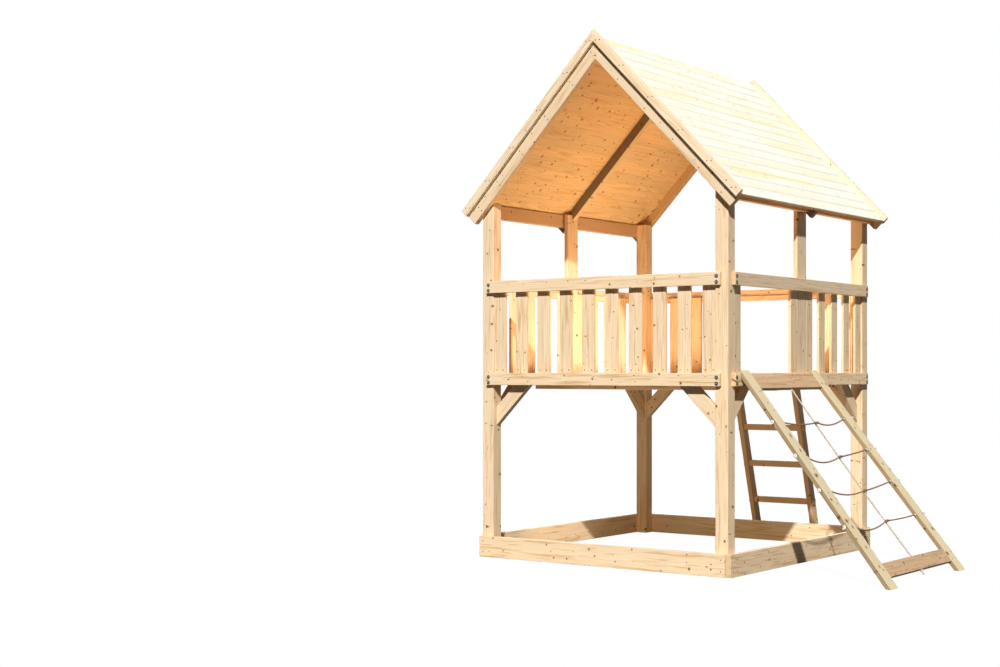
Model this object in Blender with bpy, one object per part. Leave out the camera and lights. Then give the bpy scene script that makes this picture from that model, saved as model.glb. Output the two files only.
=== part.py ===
"""A garden play tower of planed softwood.

Four square posts carry a raised floor, a slatted guard fence on every side
and a steep gable roof. A boarded sandpit frames the foot of the posts, a
rope ramp climbs to the doorway on the right and a ladder to the back.

The origin lies on the ground under the middle of the whole outline. X runs
to the right along the front, Y to the back and Z up. Lengths are in metres.
"""

import math

import bmesh
import bpy
from mathutils import Matrix, Vector

for old in list(bpy.data.objects):
    bpy.data.objects.remove(old, do_unlink=True)

# The frame of four posts
POST = 0.090
WIDTH = 1.900
DEPTH = 2.090
POST_TOP = 2.425
GAP = 0.0003

# Sandpit boards around the foot
PIT_HEIGHT = 0.142
PIT_THICK = 0.040

# Rims at floor level and guard rails above them, on the posts' outer faces
BOARD_THICK = 0.027
BOARD_INSET = 0.045
RIM_LOW = 1.176
RIM_TOP = 1.258
RAIL_LOW = 1.804
RAIL_TOP = 1.886

# Floor, joists and knee braces
FLOOR_TOP = 1.250
FLOOR_THICK = 0.021
FLOOR_BOARDS = 20
FLOOR_GROOVE = 0.004
JOIST_LOW = 1.144
JOIST_THICK = 0.045
JOIST_PLACES = (0.309, 0.691)
BRACE_WIDTH = 0.090
BRACE_THICK = 0.045
BRACE_INSET = 0.036
BRACE_FOOT = 0.900

# Fence slats
SLAT_WIDTH = 0.0955
SLAT_THICK = 0.018
SLAT_TOP = 1.841
PACKING = 0.011
SLATS_ACROSS = 10
SLATS_PER_BAY = 5
MIDPOST_WIDTH = 0.135
MIDPOST_THICK = 0.028

# Roof, measured from the ridge line of the boards' upper faces
ROOF_RISE = 1.035
RIDGE_TOP = 3.452
ROOF_THICK = 0.0215
ROOF_LENGTH = 1.527
ROOF_BOARDS = 16
ROOF_GROOVE = 0.003
FRONT_RAFTER_HEIGHT = 0.083
RAFTER_HEIGHT = 0.064
RAFTER_THICK = 0.045
BARGE_THICK = 0.027
BARGE_ABOVE = 0.028
BARGE_WIDTH = 0.056
PURLIN_LOW = 2.333
PURLIN_THICK = 0.045
PURLIN_DROP = 0.012

# Ladder at the back, leaning on the rear rim
LADDER_LEFT = 0.775
LADDER_RIGHT = 1.301
LADDER_THICK = 0.036
LADDER_DEPTH = 0.081
LADDER_LEAN = 0.306
LADDER_TOP = 1.250
RUNG_TOPS = (0.297, 0.582, 0.864)
RUNG_HEIGHT = 0.045
RUNG_DEPTH = 0.045
RUNG_OUT = 0.010

# Rope ramp on the right, leaning on the right rim
RAMP_SLOPE = 0.7895
RAMP_MIDDLE = 0.654
RAMP_HALF_FOOT = 0.5975
RAMP_FLARE = 0.044
RAMP_RAIL_WIDTH = 0.106
RAMP_THICK = 0.027
RAMP_TOP = 1.276
BAR_LENGTHS = ((0.137, 0.062), (1.240, 1.165))
ROPE_RADIUS = 0.0052
ROPE_HOLE = 0.0072
ROPE_HEIGHTS = (0.956, 0.756, 0.554, 0.344)
TIE_HEIGHTS = (0.936, 0.730, 0.511, 0.329)
ROPE_SAGS = ((0.013, 0.027), (0.040, 0.003), (0.028, 0.004), (0.038, 0.004))
ROPE_TAIL = 0.022

SLOPE = math.atan(ROOF_RISE)
ALONG = Vector((math.cos(SLOPE), 0.0, -math.sin(SLOPE)))
OUTWARD = Vector((math.sin(SLOPE), 0.0, math.cos(SLOPE)))
HALF = WIDTH / 2
RIM_FACE = WIDTH + BOARD_THICK
RAMP_FOOT = RIM_FACE + GAP + RAMP_SLOPE * RAMP_TOP
RAMP_STRETCH = math.hypot(1.0, RAMP_SLOPE)
LADDER_FOOT = DEPTH + BOARD_THICK + GAP + LADDER_LEAN * LADDER_TOP

# The middle of the whole outline, seen from above
LEFT_END = HALF - ROOF_LENGTH * ALONG.x - BARGE_ABOVE * OUTWARD.x
FRONT_END = -RAFTER_THICK - BARGE_THICK - GAP
BACK_END = LADDER_FOOT + LADDER_DEPTH
CENTRE = Vector(((LEFT_END + RAMP_FOOT) / 2, (FRONT_END + BACK_END) / 2, 0.0))

tower = bpy.data.collections.new("play_tower")
cutters = bpy.data.collections.new("cutters")
bpy.context.scene.collection.children.link(tower)
bpy.context.scene.collection.children.link(cutters)


def wood(name, color, roughness):
    """One material per kind of timber or rope."""
    material = bpy.data.materials.new(name)
    material.use_nodes = True
    shader = material.node_tree.nodes["Principled BSDF"]
    shader.inputs["Base Color"].default_value = (*color, 1.0)
    shader.inputs["Roughness"].default_value = roughness
    return material


POST_WOOD = wood("post_wood", (0.79, 0.60, 0.38), 0.62)
BOARD_WOOD = wood("board_wood", (0.74, 0.55, 0.35), 0.64)
SLAT_WOOD = wood("slat_wood", (0.82, 0.64, 0.42), 0.62)
ROOF_WOOD = wood("roof_wood", (0.86, 0.77, 0.57), 0.66)
FLOOR_WOOD = wood("floor_wood", (0.68, 0.50, 0.32), 0.66)
RAMP_WOOD = wood("ramp_wood", (0.76, 0.68, 0.47), 0.64)
ROPE_FIBRE = wood("rope_fibre", (0.62, 0.50, 0.38), 0.85)


def place(name, mesh, material, target=None):
    """Put a mesh drawn from the front left corner into the centred frame."""
    piece = bpy.data.objects.new(name, mesh)
    piece.location = -CENTRE
    if material is not None:
        mesh.materials.append(material)
    (target or tower).objects.link(piece)
    return piece


def mesh_of(name, build):
    """Run a drawing step on a fresh mesh and close it."""
    work = bmesh.new()
    build(work)
    bmesh.ops.recalc_face_normals(work, faces=work.faces)
    mesh = bpy.data.meshes.new(name)
    work.to_mesh(mesh)
    work.free()
    return mesh


def add_box(work, low, high):
    """Draw a box between two opposite corners."""
    low = Vector(low)
    high = Vector(high)
    size = high - low
    matrix = Matrix.Translation((low + high) / 2) @ Matrix.Diagonal((*size, 1.0))
    bmesh.ops.create_cube(work, size=1.0, matrix=matrix)


def add_loft(work, first, second):
    """Draw a solid between two matching outlines."""
    near = [work.verts.new(point) for point in first]
    far = [work.verts.new(point) for point in second]
    work.faces.new(near)
    work.faces.new(far)
    count = len(near)
    for index in range(count):
        after = (index + 1) % count
        work.faces.new((near[index], near[after], far[after], far[index]))


def box(name, low, high, material):
    """A plain board or beam."""
    return place(name, mesh_of(name, lambda work: add_box(work, low, high)), material)


def prism(name, outline, y_low, y_high, material):
    """A piece with a flat outline in X and Z, carried along Y."""
    near = [Vector((x, y_low, z)) for x, z in outline]
    far = [Vector((x, y_high, z)) for x, z in outline]
    return place(name, mesh_of(name, lambda work: add_loft(work, near, far)), material)


def side_prism(name, outline, x_low, x_high, material):
    """A piece with a flat outline in Y and Z, carried along X."""
    near = [Vector((x_low, y, z)) for y, z in outline]
    far = [Vector((x_high, y, z)) for y, z in outline]
    return place(name, mesh_of(name, lambda work: add_loft(work, near, far)), material)


def cutter(name, mesh):
    """A hidden helper shape for cutting or joining."""
    piece = place(name, mesh, None, cutters)
    piece.hide_render = True
    piece.display_type = "WIRE"
    return piece


def shape_with(piece, helper, operation):
    """Cut a helper from a piece, or join it on."""
    change = piece.modifiers.new(helper.name, "BOOLEAN")
    change.operation = operation
    change.solver = "EXACT"
    change.object = helper


def roof_point(side, along, above):
    """A point of one slope: along it from the ridge, and above its face."""
    x = HALF + side * (along * ALONG.x + above * OUTWARD.x)
    z = RIDGE_TOP + along * ALONG.z + above * OUTWARD.z
    return (x, z)


def under_roof(x, below):
    """Height of a line that lies this far under the roof's upper face."""
    return RIDGE_TOP - ROOF_RISE * abs(x - HALF) - below / OUTWARD.z


def ridge_cut(side, above):
    """Where a line at this height over the slope meets the ridge plane."""
    x = HALF + side * GAP
    z = RIDGE_TOP + above / OUTWARD.z - ROOF_RISE * GAP
    return (x, z)


# Posts, cut flat a little under the roof boards

UNDERSIDE = ROOF_THICK + GAP
for across, side in (("left", -1), ("right", 1)):
    inner = HALF + side * (HALF - POST)
    outer = HALF + side * HALF
    post_outline = (
        (inner, 0.0),
        (outer, 0.0),
        (outer, POST_TOP),
        (inner, POST_TOP),
    )
    prism(f"post_front_{across}", post_outline, 0.0, POST, POST_WOOD)
    prism(f"post_back_{across}", post_outline, DEPTH - POST, DEPTH, POST_WOOD)

# Sandpit: the side boards are as long as the tower is deep, and each is set
# one thickness along, so that it covers one end of the front or back board

box("pit_front", (0, -PIT_THICK, 0), (WIDTH, -GAP, PIT_HEIGHT), BOARD_WOOD)
box(
    "pit_back",
    (0, DEPTH + GAP, 0),
    (WIDTH, DEPTH + PIT_THICK, PIT_HEIGHT),
    BOARD_WOOD,
)
box(
    "pit_left",
    (-PIT_THICK, PIT_THICK, 0),
    (-GAP, DEPTH + PIT_THICK, PIT_HEIGHT),
    BOARD_WOOD,
)
box(
    "pit_right",
    (WIDTH + GAP, -PIT_THICK, 0),
    (WIDTH + PIT_THICK, DEPTH - PIT_THICK, PIT_HEIGHT),
    BOARD_WOOD,
)

# Rims around the floor

box(
    "rim_front",
    (BOARD_INSET, -BOARD_THICK, RIM_LOW),
    (WIDTH - BOARD_INSET, -GAP, RIM_TOP),
    BOARD_WOOD,
)
box(
    "rim_back",
    (BOARD_INSET, DEPTH + GAP, RIM_LOW),
    (WIDTH - BOARD_INSET, DEPTH + BOARD_THICK, RIM_TOP),
    BOARD_WOOD,
)
box(
    "rim_left",
    (-BOARD_THICK, BOARD_INSET, RIM_LOW),
    (-GAP, DEPTH - BOARD_INSET, RIM_TOP),
    BOARD_WOOD,
)
box(
    "rim_right",
    (WIDTH + GAP, BOARD_INSET, RIM_LOW),
    (RIM_FACE, DEPTH - BOARD_INSET, RIM_TOP),
    BOARD_WOOD,
)

# Joists under the floor

FLOOR_LOW = FLOOR_TOP - FLOOR_THICK
for number, share in enumerate(JOIST_PLACES, start=1):
    middle = DEPTH * share
    box(
        f"joist_{number}",
        (GAP, middle - JOIST_THICK / 2, JOIST_LOW),
        (WIDTH - GAP, middle + JOIST_THICK / 2, FLOOR_LOW - GAP),
        BOARD_WOOD,
    )

# Floor of grooved boards, notched around the posts


def floor_outline():
    """The floor's section: board seams run along the tower's depth."""
    points = [(GAP, FLOOR_LOW), (GAP, FLOOR_TOP)]
    pitch = (WIDTH - 2 * GAP) / FLOOR_BOARDS
    for number in range(1, FLOOR_BOARDS):
        x = GAP + number * pitch
        points.append((x - FLOOR_GROOVE / 2, FLOOR_TOP))
        points.append((x, FLOOR_TOP - FLOOR_GROOVE))
        points.append((x + FLOOR_GROOVE / 2, FLOOR_TOP))
    points.append((WIDTH - GAP, FLOOR_TOP))
    points.append((WIDTH - GAP, FLOOR_LOW))
    return points


floor = prism("floor", floor_outline(), GAP, DEPTH - GAP, FLOOR_WOOD)


def draw_corners(work):
    """Clearance for the four posts."""
    reach = POST + GAP
    for x_low, x_high in ((-reach, reach), (WIDTH - reach, WIDTH + reach)):
        for y_low, y_high in ((-reach, reach), (DEPTH - reach, DEPTH + reach)):
            add_box(work, (x_low, y_low, 1.1), (x_high, y_high, 1.4))


shape_with(floor, cutter("floor_corners", mesh_of("floor_corners", draw_corners)), "DIFFERENCE")

# Knee braces between posts and floor


def brace_outline(start, toward):
    """A brace from a post's face, rising away from it at forty-five degrees."""
    top = FLOOR_LOW - GAP
    wide = BRACE_WIDTH * math.sqrt(2)
    start = start + toward * GAP
    low_reach = start + toward * (top - BRACE_FOOT)
    high_reach = start + toward * (top - BRACE_FOOT - wide)
    return (
        (start, BRACE_FOOT),
        (low_reach, top),
        (high_reach, top),
        (start, BRACE_FOOT + wide),
    )


for across, x_face, toward in (("left", POST, 1), ("right", WIDTH - POST, -1)):
    outline = brace_outline(x_face, toward)
    y_near = BRACE_INSET
    y_far = DEPTH - BRACE_INSET
    prism(f"brace_front_{across}", outline, y_near, y_near + BRACE_THICK, POST_WOOD)
    prism(f"brace_back_{across}", outline, y_far - BRACE_THICK, y_far, POST_WOOD)
for along, y_face, toward in (("front", POST, 1), ("back", DEPTH - POST, -1)):
    outline = brace_outline(y_face, toward)
    x_near = BRACE_INSET
    x_far = WIDTH - BRACE_INSET
    side_prism(f"brace_left_{along}", outline, x_near, x_near + BRACE_THICK, POST_WOOD)
    side_prism(f"brace_right_{along}", outline, x_far - BRACE_THICK, x_far, POST_WOOD)

# Middle posts of the left and right fences, as high as the corner posts

MID_LOW = (DEPTH - MIDPOST_WIDTH) / 2
MID_HIGH = (DEPTH + MIDPOST_WIDTH) / 2
midposts = {}
for across, side in (("left", -1), ("right", 1)):
    outer = HALF + side * (HALF - PACKING)
    inner = outer - side * MIDPOST_THICK
    outline = (
        (inner, FLOOR_TOP + GAP),
        (outer, FLOOR_TOP + GAP),
        (outer, POST_TOP),
        (inner, POST_TOP),
    )
    midposts[across] = prism(f"midpost_{across}", outline, MID_LOW, MID_HIGH, POST_WOOD)

# Guard fences: a rail outside the posts, a packing strip and slats behind it


def slat_starts(low, high, count):
    """Where each slat of a bay begins, the first and last against its ends."""
    room = high - low - 2 * GAP - SLAT_WIDTH
    return [low + GAP + room * index / (count - 1) for index in range(count)]


def fence(name, rail, strips, slats):
    """Rail and slats as one screwed-up piece."""
    body = place(name, mesh_of(name, lambda work: add_box(work, *rail)), SLAT_WOOD)

    def draw_parts(work):
        for low, high in slats:
            add_box(work, low, high)

    def draw_strips(work):
        for low, high in strips:
            add_box(work, low, high)

    slat_tool = cutter(f"{name}_slats", mesh_of(f"{name}_slats", draw_parts))
    strip_tool = cutter(f"{name}_strips", mesh_of(f"{name}_strips", draw_strips))
    shape_with(body, strip_tool, "UNION")
    shape_with(body, slat_tool, "UNION")
    return body


SLAT_LOW = FLOOR_TOP + GAP
BITE = 0.006
STRIP_LOW = RAIL_LOW + 0.001
STRIP_HIGH = SLAT_TOP - 0.001


def across_fence(name, rail_outer, rail_inner, slat_face, inward, skipped):
    """A fence along X, at the front or the back."""
    starts = slat_starts(POST, WIDTH - POST, SLATS_ACROSS)
    kept = [x for index, x in enumerate(starts) if index not in skipped]
    depth = sorted((slat_face, slat_face + inward * SLAT_THICK))
    slats = [
        ((x, depth[0], SLAT_LOW), (x + SLAT_WIDTH, depth[1], SLAT_TOP)) for x in kept
    ]
    y_strip = sorted((rail_inner - inward * BITE, slat_face + inward * BITE))
    x_strip = POST + 2 * BITE
    strips = [
        ((x_strip, y_strip[0], STRIP_LOW), (WIDTH - x_strip, y_strip[1], STRIP_HIGH))
    ]
    y_rail = sorted((rail_outer, rail_inner))
    rail = (
        (BOARD_INSET, y_rail[0], RAIL_LOW),
        (WIDTH - BOARD_INSET, y_rail[1], RAIL_TOP),
    )
    return fence(name, rail, strips, slats)


def along_fence(name, rail_outer, rail_inner, slat_face, inward, skipped):
    """A fence along Y in two bays, at the left or the right."""
    starts = slat_starts(POST, MID_LOW, SLATS_PER_BAY)
    starts += slat_starts(MID_HIGH, DEPTH - POST, SLATS_PER_BAY)
    kept = [y for index, y in enumerate(starts) if index not in skipped]
    width = sorted((slat_face, slat_face + inward * SLAT_THICK))
    slats = [
        ((width[0], y, SLAT_LOW), (width[1], y + SLAT_WIDTH, SLAT_TOP)) for y in kept
    ]
    x_strip = sorted((rail_inner - inward * BITE, slat_face + inward * BITE))
    strips = [
        (
            (x_strip[0], low + 2 * BITE, STRIP_LOW),
            (x_strip[1], high - 2 * BITE, STRIP_HIGH),
        )
        for low, high in ((POST, MID_LOW), (MID_HIGH, DEPTH - POST))
    ]
    x_rail = sorted((rail_outer, rail_inner))
    rail = (
        (x_rail[0], BOARD_INSET, RAIL_LOW),
        (x_rail[1], DEPTH - BOARD_INSET, RAIL_TOP),
    )
    return fence(name, rail, strips, slats)


LADDER_BAY = (4, 5, 6)
DOOR_BAY = (1, 2, 3)
across_fence("fence_front", -BOARD_THICK, -GAP, PACKING, 1, ())
across_fence(
    "fence_back", DEPTH + BOARD_THICK, DEPTH + GAP, DEPTH - PACKING, -1, LADDER_BAY
)
along_fence("fence_left", -BOARD_THICK, -GAP, PACKING, 1, ())
along_fence("fence_right", RIM_FACE, WIDTH + GAP, WIDTH - PACKING, -1, DOOR_BAY)

# Rafters: one pair in front of the posts, one in the middle, one behind


def rafter_outline(side, above, below, spare=0.0):
    """A rafter's shape: plumb at the ridge and square at the eave."""
    return (
        ridge_cut(side, above + spare),
        roof_point(side, ROOF_LENGTH + spare, above + spare),
        roof_point(side, ROOF_LENGTH + spare, below - spare),
        ridge_cut(side, below - spare),
    )


MIDDLE = DEPTH / 2
RAFTER_UNDER = -UNDERSIDE - RAFTER_HEIGHT
for across, side in (("left", -1), ("right", 1)):
    tall = rafter_outline(side, -UNDERSIDE, -UNDERSIDE - FRONT_RAFTER_HEIGHT)
    low = rafter_outline(side, -UNDERSIDE, RAFTER_UNDER)
    prism(f"rafter_front_{across}", tall, -RAFTER_THICK, -GAP, POST_WOOD)
    prism(f"rafter_middle_{across}", low, MIDDLE, MIDDLE + RAFTER_THICK, POST_WOOD)
    prism(f"rafter_back_{across}", low, DEPTH + GAP, DEPTH + RAFTER_THICK, POST_WOOD)

# Purlins on the posts' outer faces, a little under the roof boards. They and
# the middle posts are housed around the middle rafters

for across, side in (("left", -1), ("right", 1)):
    inner = HALF + side * (HALF + GAP)
    outer = HALF + side * (HALF + PURLIN_THICK)
    outline = (
        (inner, PURLIN_LOW),
        (outer, PURLIN_LOW),
        (outer, under_roof(outer, UNDERSIDE) - PURLIN_DROP),
        (inner, under_roof(inner, UNDERSIDE) - PURLIN_DROP),
    )
    purlin = prism(f"purlin_{across}", outline, 0.0, DEPTH, BOARD_WOOD)
    room = rafter_outline(side, 0.02, RAFTER_UNDER, GAP)
    near = [Vector((x, MIDDLE - GAP, z)) for x, z in room]
    far = [Vector((x, MIDDLE + RAFTER_THICK + GAP, z)) for x, z in room]
    name = f"housing_{across}"
    room_mesh = mesh_of(name, lambda work, near=near, far=far: add_loft(work, near, far))
    housing = cutter(name, room_mesh)
    shape_with(purlin, housing, "DIFFERENCE")
    shape_with(midposts[across], housing, "DIFFERENCE")

# Roof slopes of grooved boards, and the barge boards on their ends


def slope_outline(side):
    """The section of one slope, with a shallow groove at every seam."""
    pitch = ROOF_LENGTH / ROOF_BOARDS
    points = [ridge_cut(side, 0.0)]
    for number in range(1, ROOF_BOARDS):
        seam = number * pitch
        points.append(roof_point(side, seam - ROOF_GROOVE, 0.0))
        points.append(roof_point(side, seam, -ROOF_GROOVE))
        points.append(roof_point(side, seam + ROOF_GROOVE, 0.0))
    points.append(roof_point(side, ROOF_LENGTH, 0.0))
    points.append(roof_point(side, ROOF_LENGTH, -ROOF_THICK))
    points.append(ridge_cut(side, -ROOF_THICK))
    return points


ROOF_FRONT = -RAFTER_THICK
ROOF_BACK = DEPTH + RAFTER_THICK
for across, side in (("left", -1), ("right", 1)):
    prism(f"roof_{across}", slope_outline(side), ROOF_FRONT, ROOF_BACK, ROOF_WOOD)
    outline = (
        ridge_cut(side, BARGE_ABOVE),
        roof_point(side, ROOF_LENGTH, BARGE_ABOVE),
        roof_point(side, ROOF_LENGTH, BARGE_ABOVE - BARGE_WIDTH),
        ridge_cut(side, BARGE_ABOVE - BARGE_WIDTH),
    )
    front = ROOF_FRONT - GAP
    back = ROOF_BACK + GAP
    prism(f"barge_front_{across}", outline, front - BARGE_THICK, front, ROOF_WOOD)
    prism(f"barge_back_{across}", outline, back, back + BARGE_THICK, ROOF_WOOD)

# Ladder


def ladder_face(z):
    """The side of the ladder rails that faces the tower, at a height."""
    return LADDER_FOOT - LADDER_LEAN * z


def rung_box(top, grow):
    """One rung, or the mortise around it."""
    middle = ladder_face(top - RUNG_HEIGHT / 2) + LADDER_DEPTH / 2
    out = RUNG_OUT + 20 * grow
    low = (
        LADDER_LEFT - out,
        middle - RUNG_DEPTH / 2 - grow,
        top - RUNG_HEIGHT - grow,
    )
    high = (LADDER_RIGHT + out, middle + RUNG_DEPTH / 2 + grow, top + grow)
    return low, high


def draw_mortises(work):
    """Room in the ladder rails for every rung."""
    for top in RUNG_TOPS:
        add_box(work, *rung_box(top, GAP))


ladder_outline = (
    (LADDER_FOOT, 0.0),
    (LADDER_FOOT + LADDER_DEPTH, 0.0),
    (ladder_face(LADDER_TOP) + LADDER_DEPTH, LADDER_TOP),
    (ladder_face(LADDER_TOP), LADDER_TOP),
)
mortises = cutter("mortises", mesh_of("mortises", draw_mortises))
for across, x_low in (
    ("left", LADDER_LEFT),
    ("right", LADDER_RIGHT - LADDER_THICK),
):
    x_high = x_low + LADDER_THICK
    rail = side_prism(f"ladder_rail_{across}", ladder_outline, x_low, x_high, BOARD_WOOD)
    shape_with(rail, mortises, "DIFFERENCE")
for number, top in enumerate(RUNG_TOPS, start=1):
    low, high = rung_box(top, 0.0)
    box(f"ladder_rung_{number}", low, high, BOARD_WOOD)

# Rope ramp


def ramp_x(z, below=0.0):
    """X of the ramp's upper face at a height, or of a line under it."""
    return RAMP_FOOT - RAMP_SLOPE * z - below * RAMP_STRETCH


def ramp_z(x, below=0.0):
    """Height of the ramp's upper face at an X, or of a line under it."""
    return (RAMP_FOOT - below * RAMP_STRETCH - x) / RAMP_SLOPE


def ramp_y(side, inside, z):
    """A rail's edge, drawing nearer to the ramp's middle with height."""
    reach = RAMP_HALF_FOOT - RAMP_FLARE * z - inside
    return RAMP_MIDDLE + side * reach


def ramp_loft(name, section, first_edge, second_edge, material):
    """A ramp member with a section in X and Z between two sloping edges."""
    first = [Vector((x, first_edge(z), z)) for x, z in section]
    second = [Vector((x, second_edge(z), z)) for x, z in section]
    return place(name, mesh_of(name, lambda work: add_loft(work, first, second)), material)


RAMP_HEAD = RIM_FACE + GAP
rail_section = (
    (RAMP_HEAD, ramp_z(RAMP_HEAD)),
    (ramp_x(0.0), 0.0),
    (ramp_x(0.0, RAMP_THICK), 0.0),
    (RAMP_HEAD, ramp_z(RAMP_HEAD, RAMP_THICK)),
)


def cylinder_between(start, end, radius):
    """A round bar between two points, for drilling holes."""
    start = Vector(start)
    end = Vector(end)
    way = end - start
    turn = Vector((0, 0, 1)).rotation_difference(way).to_matrix().to_4x4()
    matrix = Matrix.Translation((start + end) / 2) @ turn

    def draw(work):
        bmesh.ops.create_cone(
            work,
            cap_ends=True,
            segments=16,
            radius1=radius,
            radius2=radius,
            depth=way.length,
            matrix=matrix,
        )

    return draw


def hole_point(z, y):
    """A point at half the thickness of the ramp's boards."""
    return Vector((ramp_x(z, RAMP_THICK / 2), y, z))


for across, side in (("near", -1), ("far", 1)):
    rail = ramp_loft(
        f"ramp_rail_{across}",
        rail_section,
        lambda z, side=side: ramp_y(side, 0.0, z),
        lambda z, side=side: ramp_y(side, RAMP_RAIL_WIDTH, z),
        RAMP_WOOD,
    )
    for number, height in enumerate(ROPE_HEIGHTS, start=1):
        start = hole_point(height, RAMP_MIDDLE + side * 0.40)
        end = hole_point(height, RAMP_MIDDLE + side * 0.75)
        name = f"hole_{across}_{number}"
        drill = cutter(name, mesh_of(name, cylinder_between(start, end, ROPE_HOLE)))
        shape_with(rail, drill, "DIFFERENCE")

for name, (z_high, z_low) in zip(("ramp_bar_low", "ramp_bar_high"), BAR_LENGTHS):
    section = (
        (ramp_x(z_high), z_high),
        (ramp_x(z_low), z_low),
        (
            ramp_x(z_low) - RAMP_THICK / RAMP_STRETCH,
            z_low - RAMP_THICK * RAMP_SLOPE / RAMP_STRETCH,
        ),
        (
            ramp_x(z_high) - RAMP_THICK / RAMP_STRETCH,
            z_high - RAMP_THICK * RAMP_SLOPE / RAMP_STRETCH,
        ),
    )
    bar = ramp_loft(
        name,
        section,
        lambda z: ramp_y(-1, RAMP_RAIL_WIDTH + GAP, z),
        lambda z: ramp_y(1, RAMP_RAIL_WIDTH + GAP, z),
        BOARD_WOOD,
    )
    start = hole_point(z_high + 0.06, RAMP_MIDDLE)
    end = hole_point(z_low - 0.09, RAMP_MIDDLE)
    drill = mesh_of(name, cylinder_between(start, end, ROPE_HOLE))
    shape_with(bar, cutter(f"{name}_hole", drill), "DIFFERENCE")


def rope(name, route):
    """A rope as a tube along its route."""
    curve = bpy.data.curves.new(name, "CURVE")
    curve.dimensions = "3D"
    curve.bevel_depth = ROPE_RADIUS
    curve.bevel_resolution = 2
    curve.use_fill_caps = True
    line = curve.splines.new("POLY")
    line.points.add(len(route) - 1)
    for point, spot in zip(line.points, route):
        point.co = (*spot, 1.0)
    curve.materials.append(ROPE_FIBRE)
    piece = bpy.data.objects.new(name, curve)
    piece.location = -CENTRE
    tower.objects.link(piece)
    return piece


def rope_span(start, end, sag, steps):
    """Points of a hanging stretch between two held ends, the first left out."""
    points = []
    for index in range(1, steps + 1):
        share = index / steps
        drop = 4 * sag * share * (1 - share)
        spot = start.lerp(end, share)
        points.append(Vector((spot.x, spot.y, spot.z - drop)))
    return points


# The long rope down the middle of the ramp, held in both bars

NORMAL = Vector((1.0, 0.0, RAMP_SLOPE)) / RAMP_STRETCH
ROPE_SAG = 0.012
long_start = hole_point(BAR_LENGTHS[1][0] - 0.004, RAMP_MIDDLE)
long_head = hole_point(BAR_LENGTHS[1][1] - 0.016, RAMP_MIDDLE)
long_foot = hole_point(BAR_LENGTHS[0][0] - 0.002, RAMP_MIDDLE)
long_end = hole_point(BAR_LENGTHS[0][1] - 0.034, RAMP_MIDDLE)
long_route = [long_start, long_head]
long_route += rope_span(long_head, long_foot, ROPE_SAG, 44)
long_route += rope_span(long_foot, long_end, 0.0, 4)
rope("rope_long", long_route)


def long_rope_at(z):
    """The spot of the long rope nearest to a height."""
    return min(long_route, key=lambda spot: abs(spot.z - z))


# The cross ropes, each through both rails and over the long rope

for number, height in enumerate(ROPE_HEIGHTS, start=1):
    sags = ROPE_SAGS[number - 1]
    tie = long_rope_at(TIE_HEIGHTS[number - 1]) + NORMAL * (2 * ROPE_RADIUS + 2 * GAP)
    near_in = hole_point(height, ramp_y(-1, RAMP_RAIL_WIDTH - 0.004, height))
    near_out = hole_point(height, ramp_y(-1, -ROPE_TAIL, height))
    far_in = hole_point(height, ramp_y(1, RAMP_RAIL_WIDTH - 0.004, height))
    far_out = hole_point(height, ramp_y(1, -ROPE_TAIL, height))
    tie_near = tie + Vector((0, -0.012, 0))
    tie_far = tie + Vector((0, 0.012, 0))
    route = [near_out]
    route += rope_span(near_out, near_in, 0.0, 5)
    route += rope_span(near_in, tie_near, sags[0], 18)
    route += rope_span(tie_near, tie_far, 0.0, 1)
    route += rope_span(tie_far, far_in, sags[1], 18)
    route += rope_span(far_in, far_out, 0.0, 5)
    rope(f"rope_cross_{number}", route)
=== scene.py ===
"""Looks for the wooden play tower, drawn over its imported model.

Lengths are in metres. Shapes are worked out in tower coordinates, which start
at the outer corner of the front left post, and every mesh is then moved into
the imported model's frame, where the origin lies under the middle of the whole.
"""

import logging
import math
import random
from collections.abc import Iterable, Sequence
from dataclasses import dataclass
from enum import Enum

import bmesh
import bpy
from mathutils import Matrix, Vector


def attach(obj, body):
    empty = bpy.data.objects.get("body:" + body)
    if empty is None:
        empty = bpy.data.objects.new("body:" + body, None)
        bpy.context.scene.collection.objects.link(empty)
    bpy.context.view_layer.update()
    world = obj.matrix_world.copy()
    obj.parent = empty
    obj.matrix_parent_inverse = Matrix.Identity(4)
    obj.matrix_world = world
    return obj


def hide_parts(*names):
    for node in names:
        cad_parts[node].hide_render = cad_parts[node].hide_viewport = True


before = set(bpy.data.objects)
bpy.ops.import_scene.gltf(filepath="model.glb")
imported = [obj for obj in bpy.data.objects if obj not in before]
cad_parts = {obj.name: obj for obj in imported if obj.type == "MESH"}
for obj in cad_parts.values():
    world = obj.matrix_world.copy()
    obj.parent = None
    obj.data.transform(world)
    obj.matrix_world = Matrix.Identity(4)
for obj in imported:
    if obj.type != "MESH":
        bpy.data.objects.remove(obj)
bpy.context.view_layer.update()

log = logging.getLogger("play_tower")

BODY = "root"
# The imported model's origin in tower coordinates
CENTRE = Vector((1.40176, 1.25425, 0.0))
# The frame over its posts, and the play between neighbouring parts
WIDTH = 1.900
DEPTH = 2.090
HALF = WIDTH / 2
POST = 0.090
GAP = 0.0003
# The floor, and the boards outside the posts
FLOOR_TOP = 1.250
FLOOR_THICK = 0.021
BOARD_THICK = 0.027
BOARD_INSET = 0.045
RAIL_LOW = 1.804
RAIL_TOP = 1.886
RIM_LOW = 1.176
RIM_TOP = 1.258

UP = Vector((0, 0, 1))
EAST = Vector((1, 0, 0))
NORTH = Vector((0, 1, 0))

Point = tuple[float, float, float]
Colour = tuple[float, float, float]
Outline = list[tuple[float, float]]


class Side(Enum):
    """The tower's left or right half, and which way X grows outwards there."""

    LEFT = -1
    RIGHT = 1

    @property
    def word(self) -> str:
        """The side as it stands in the names of the model's parts."""
        return self.name.lower()


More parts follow.
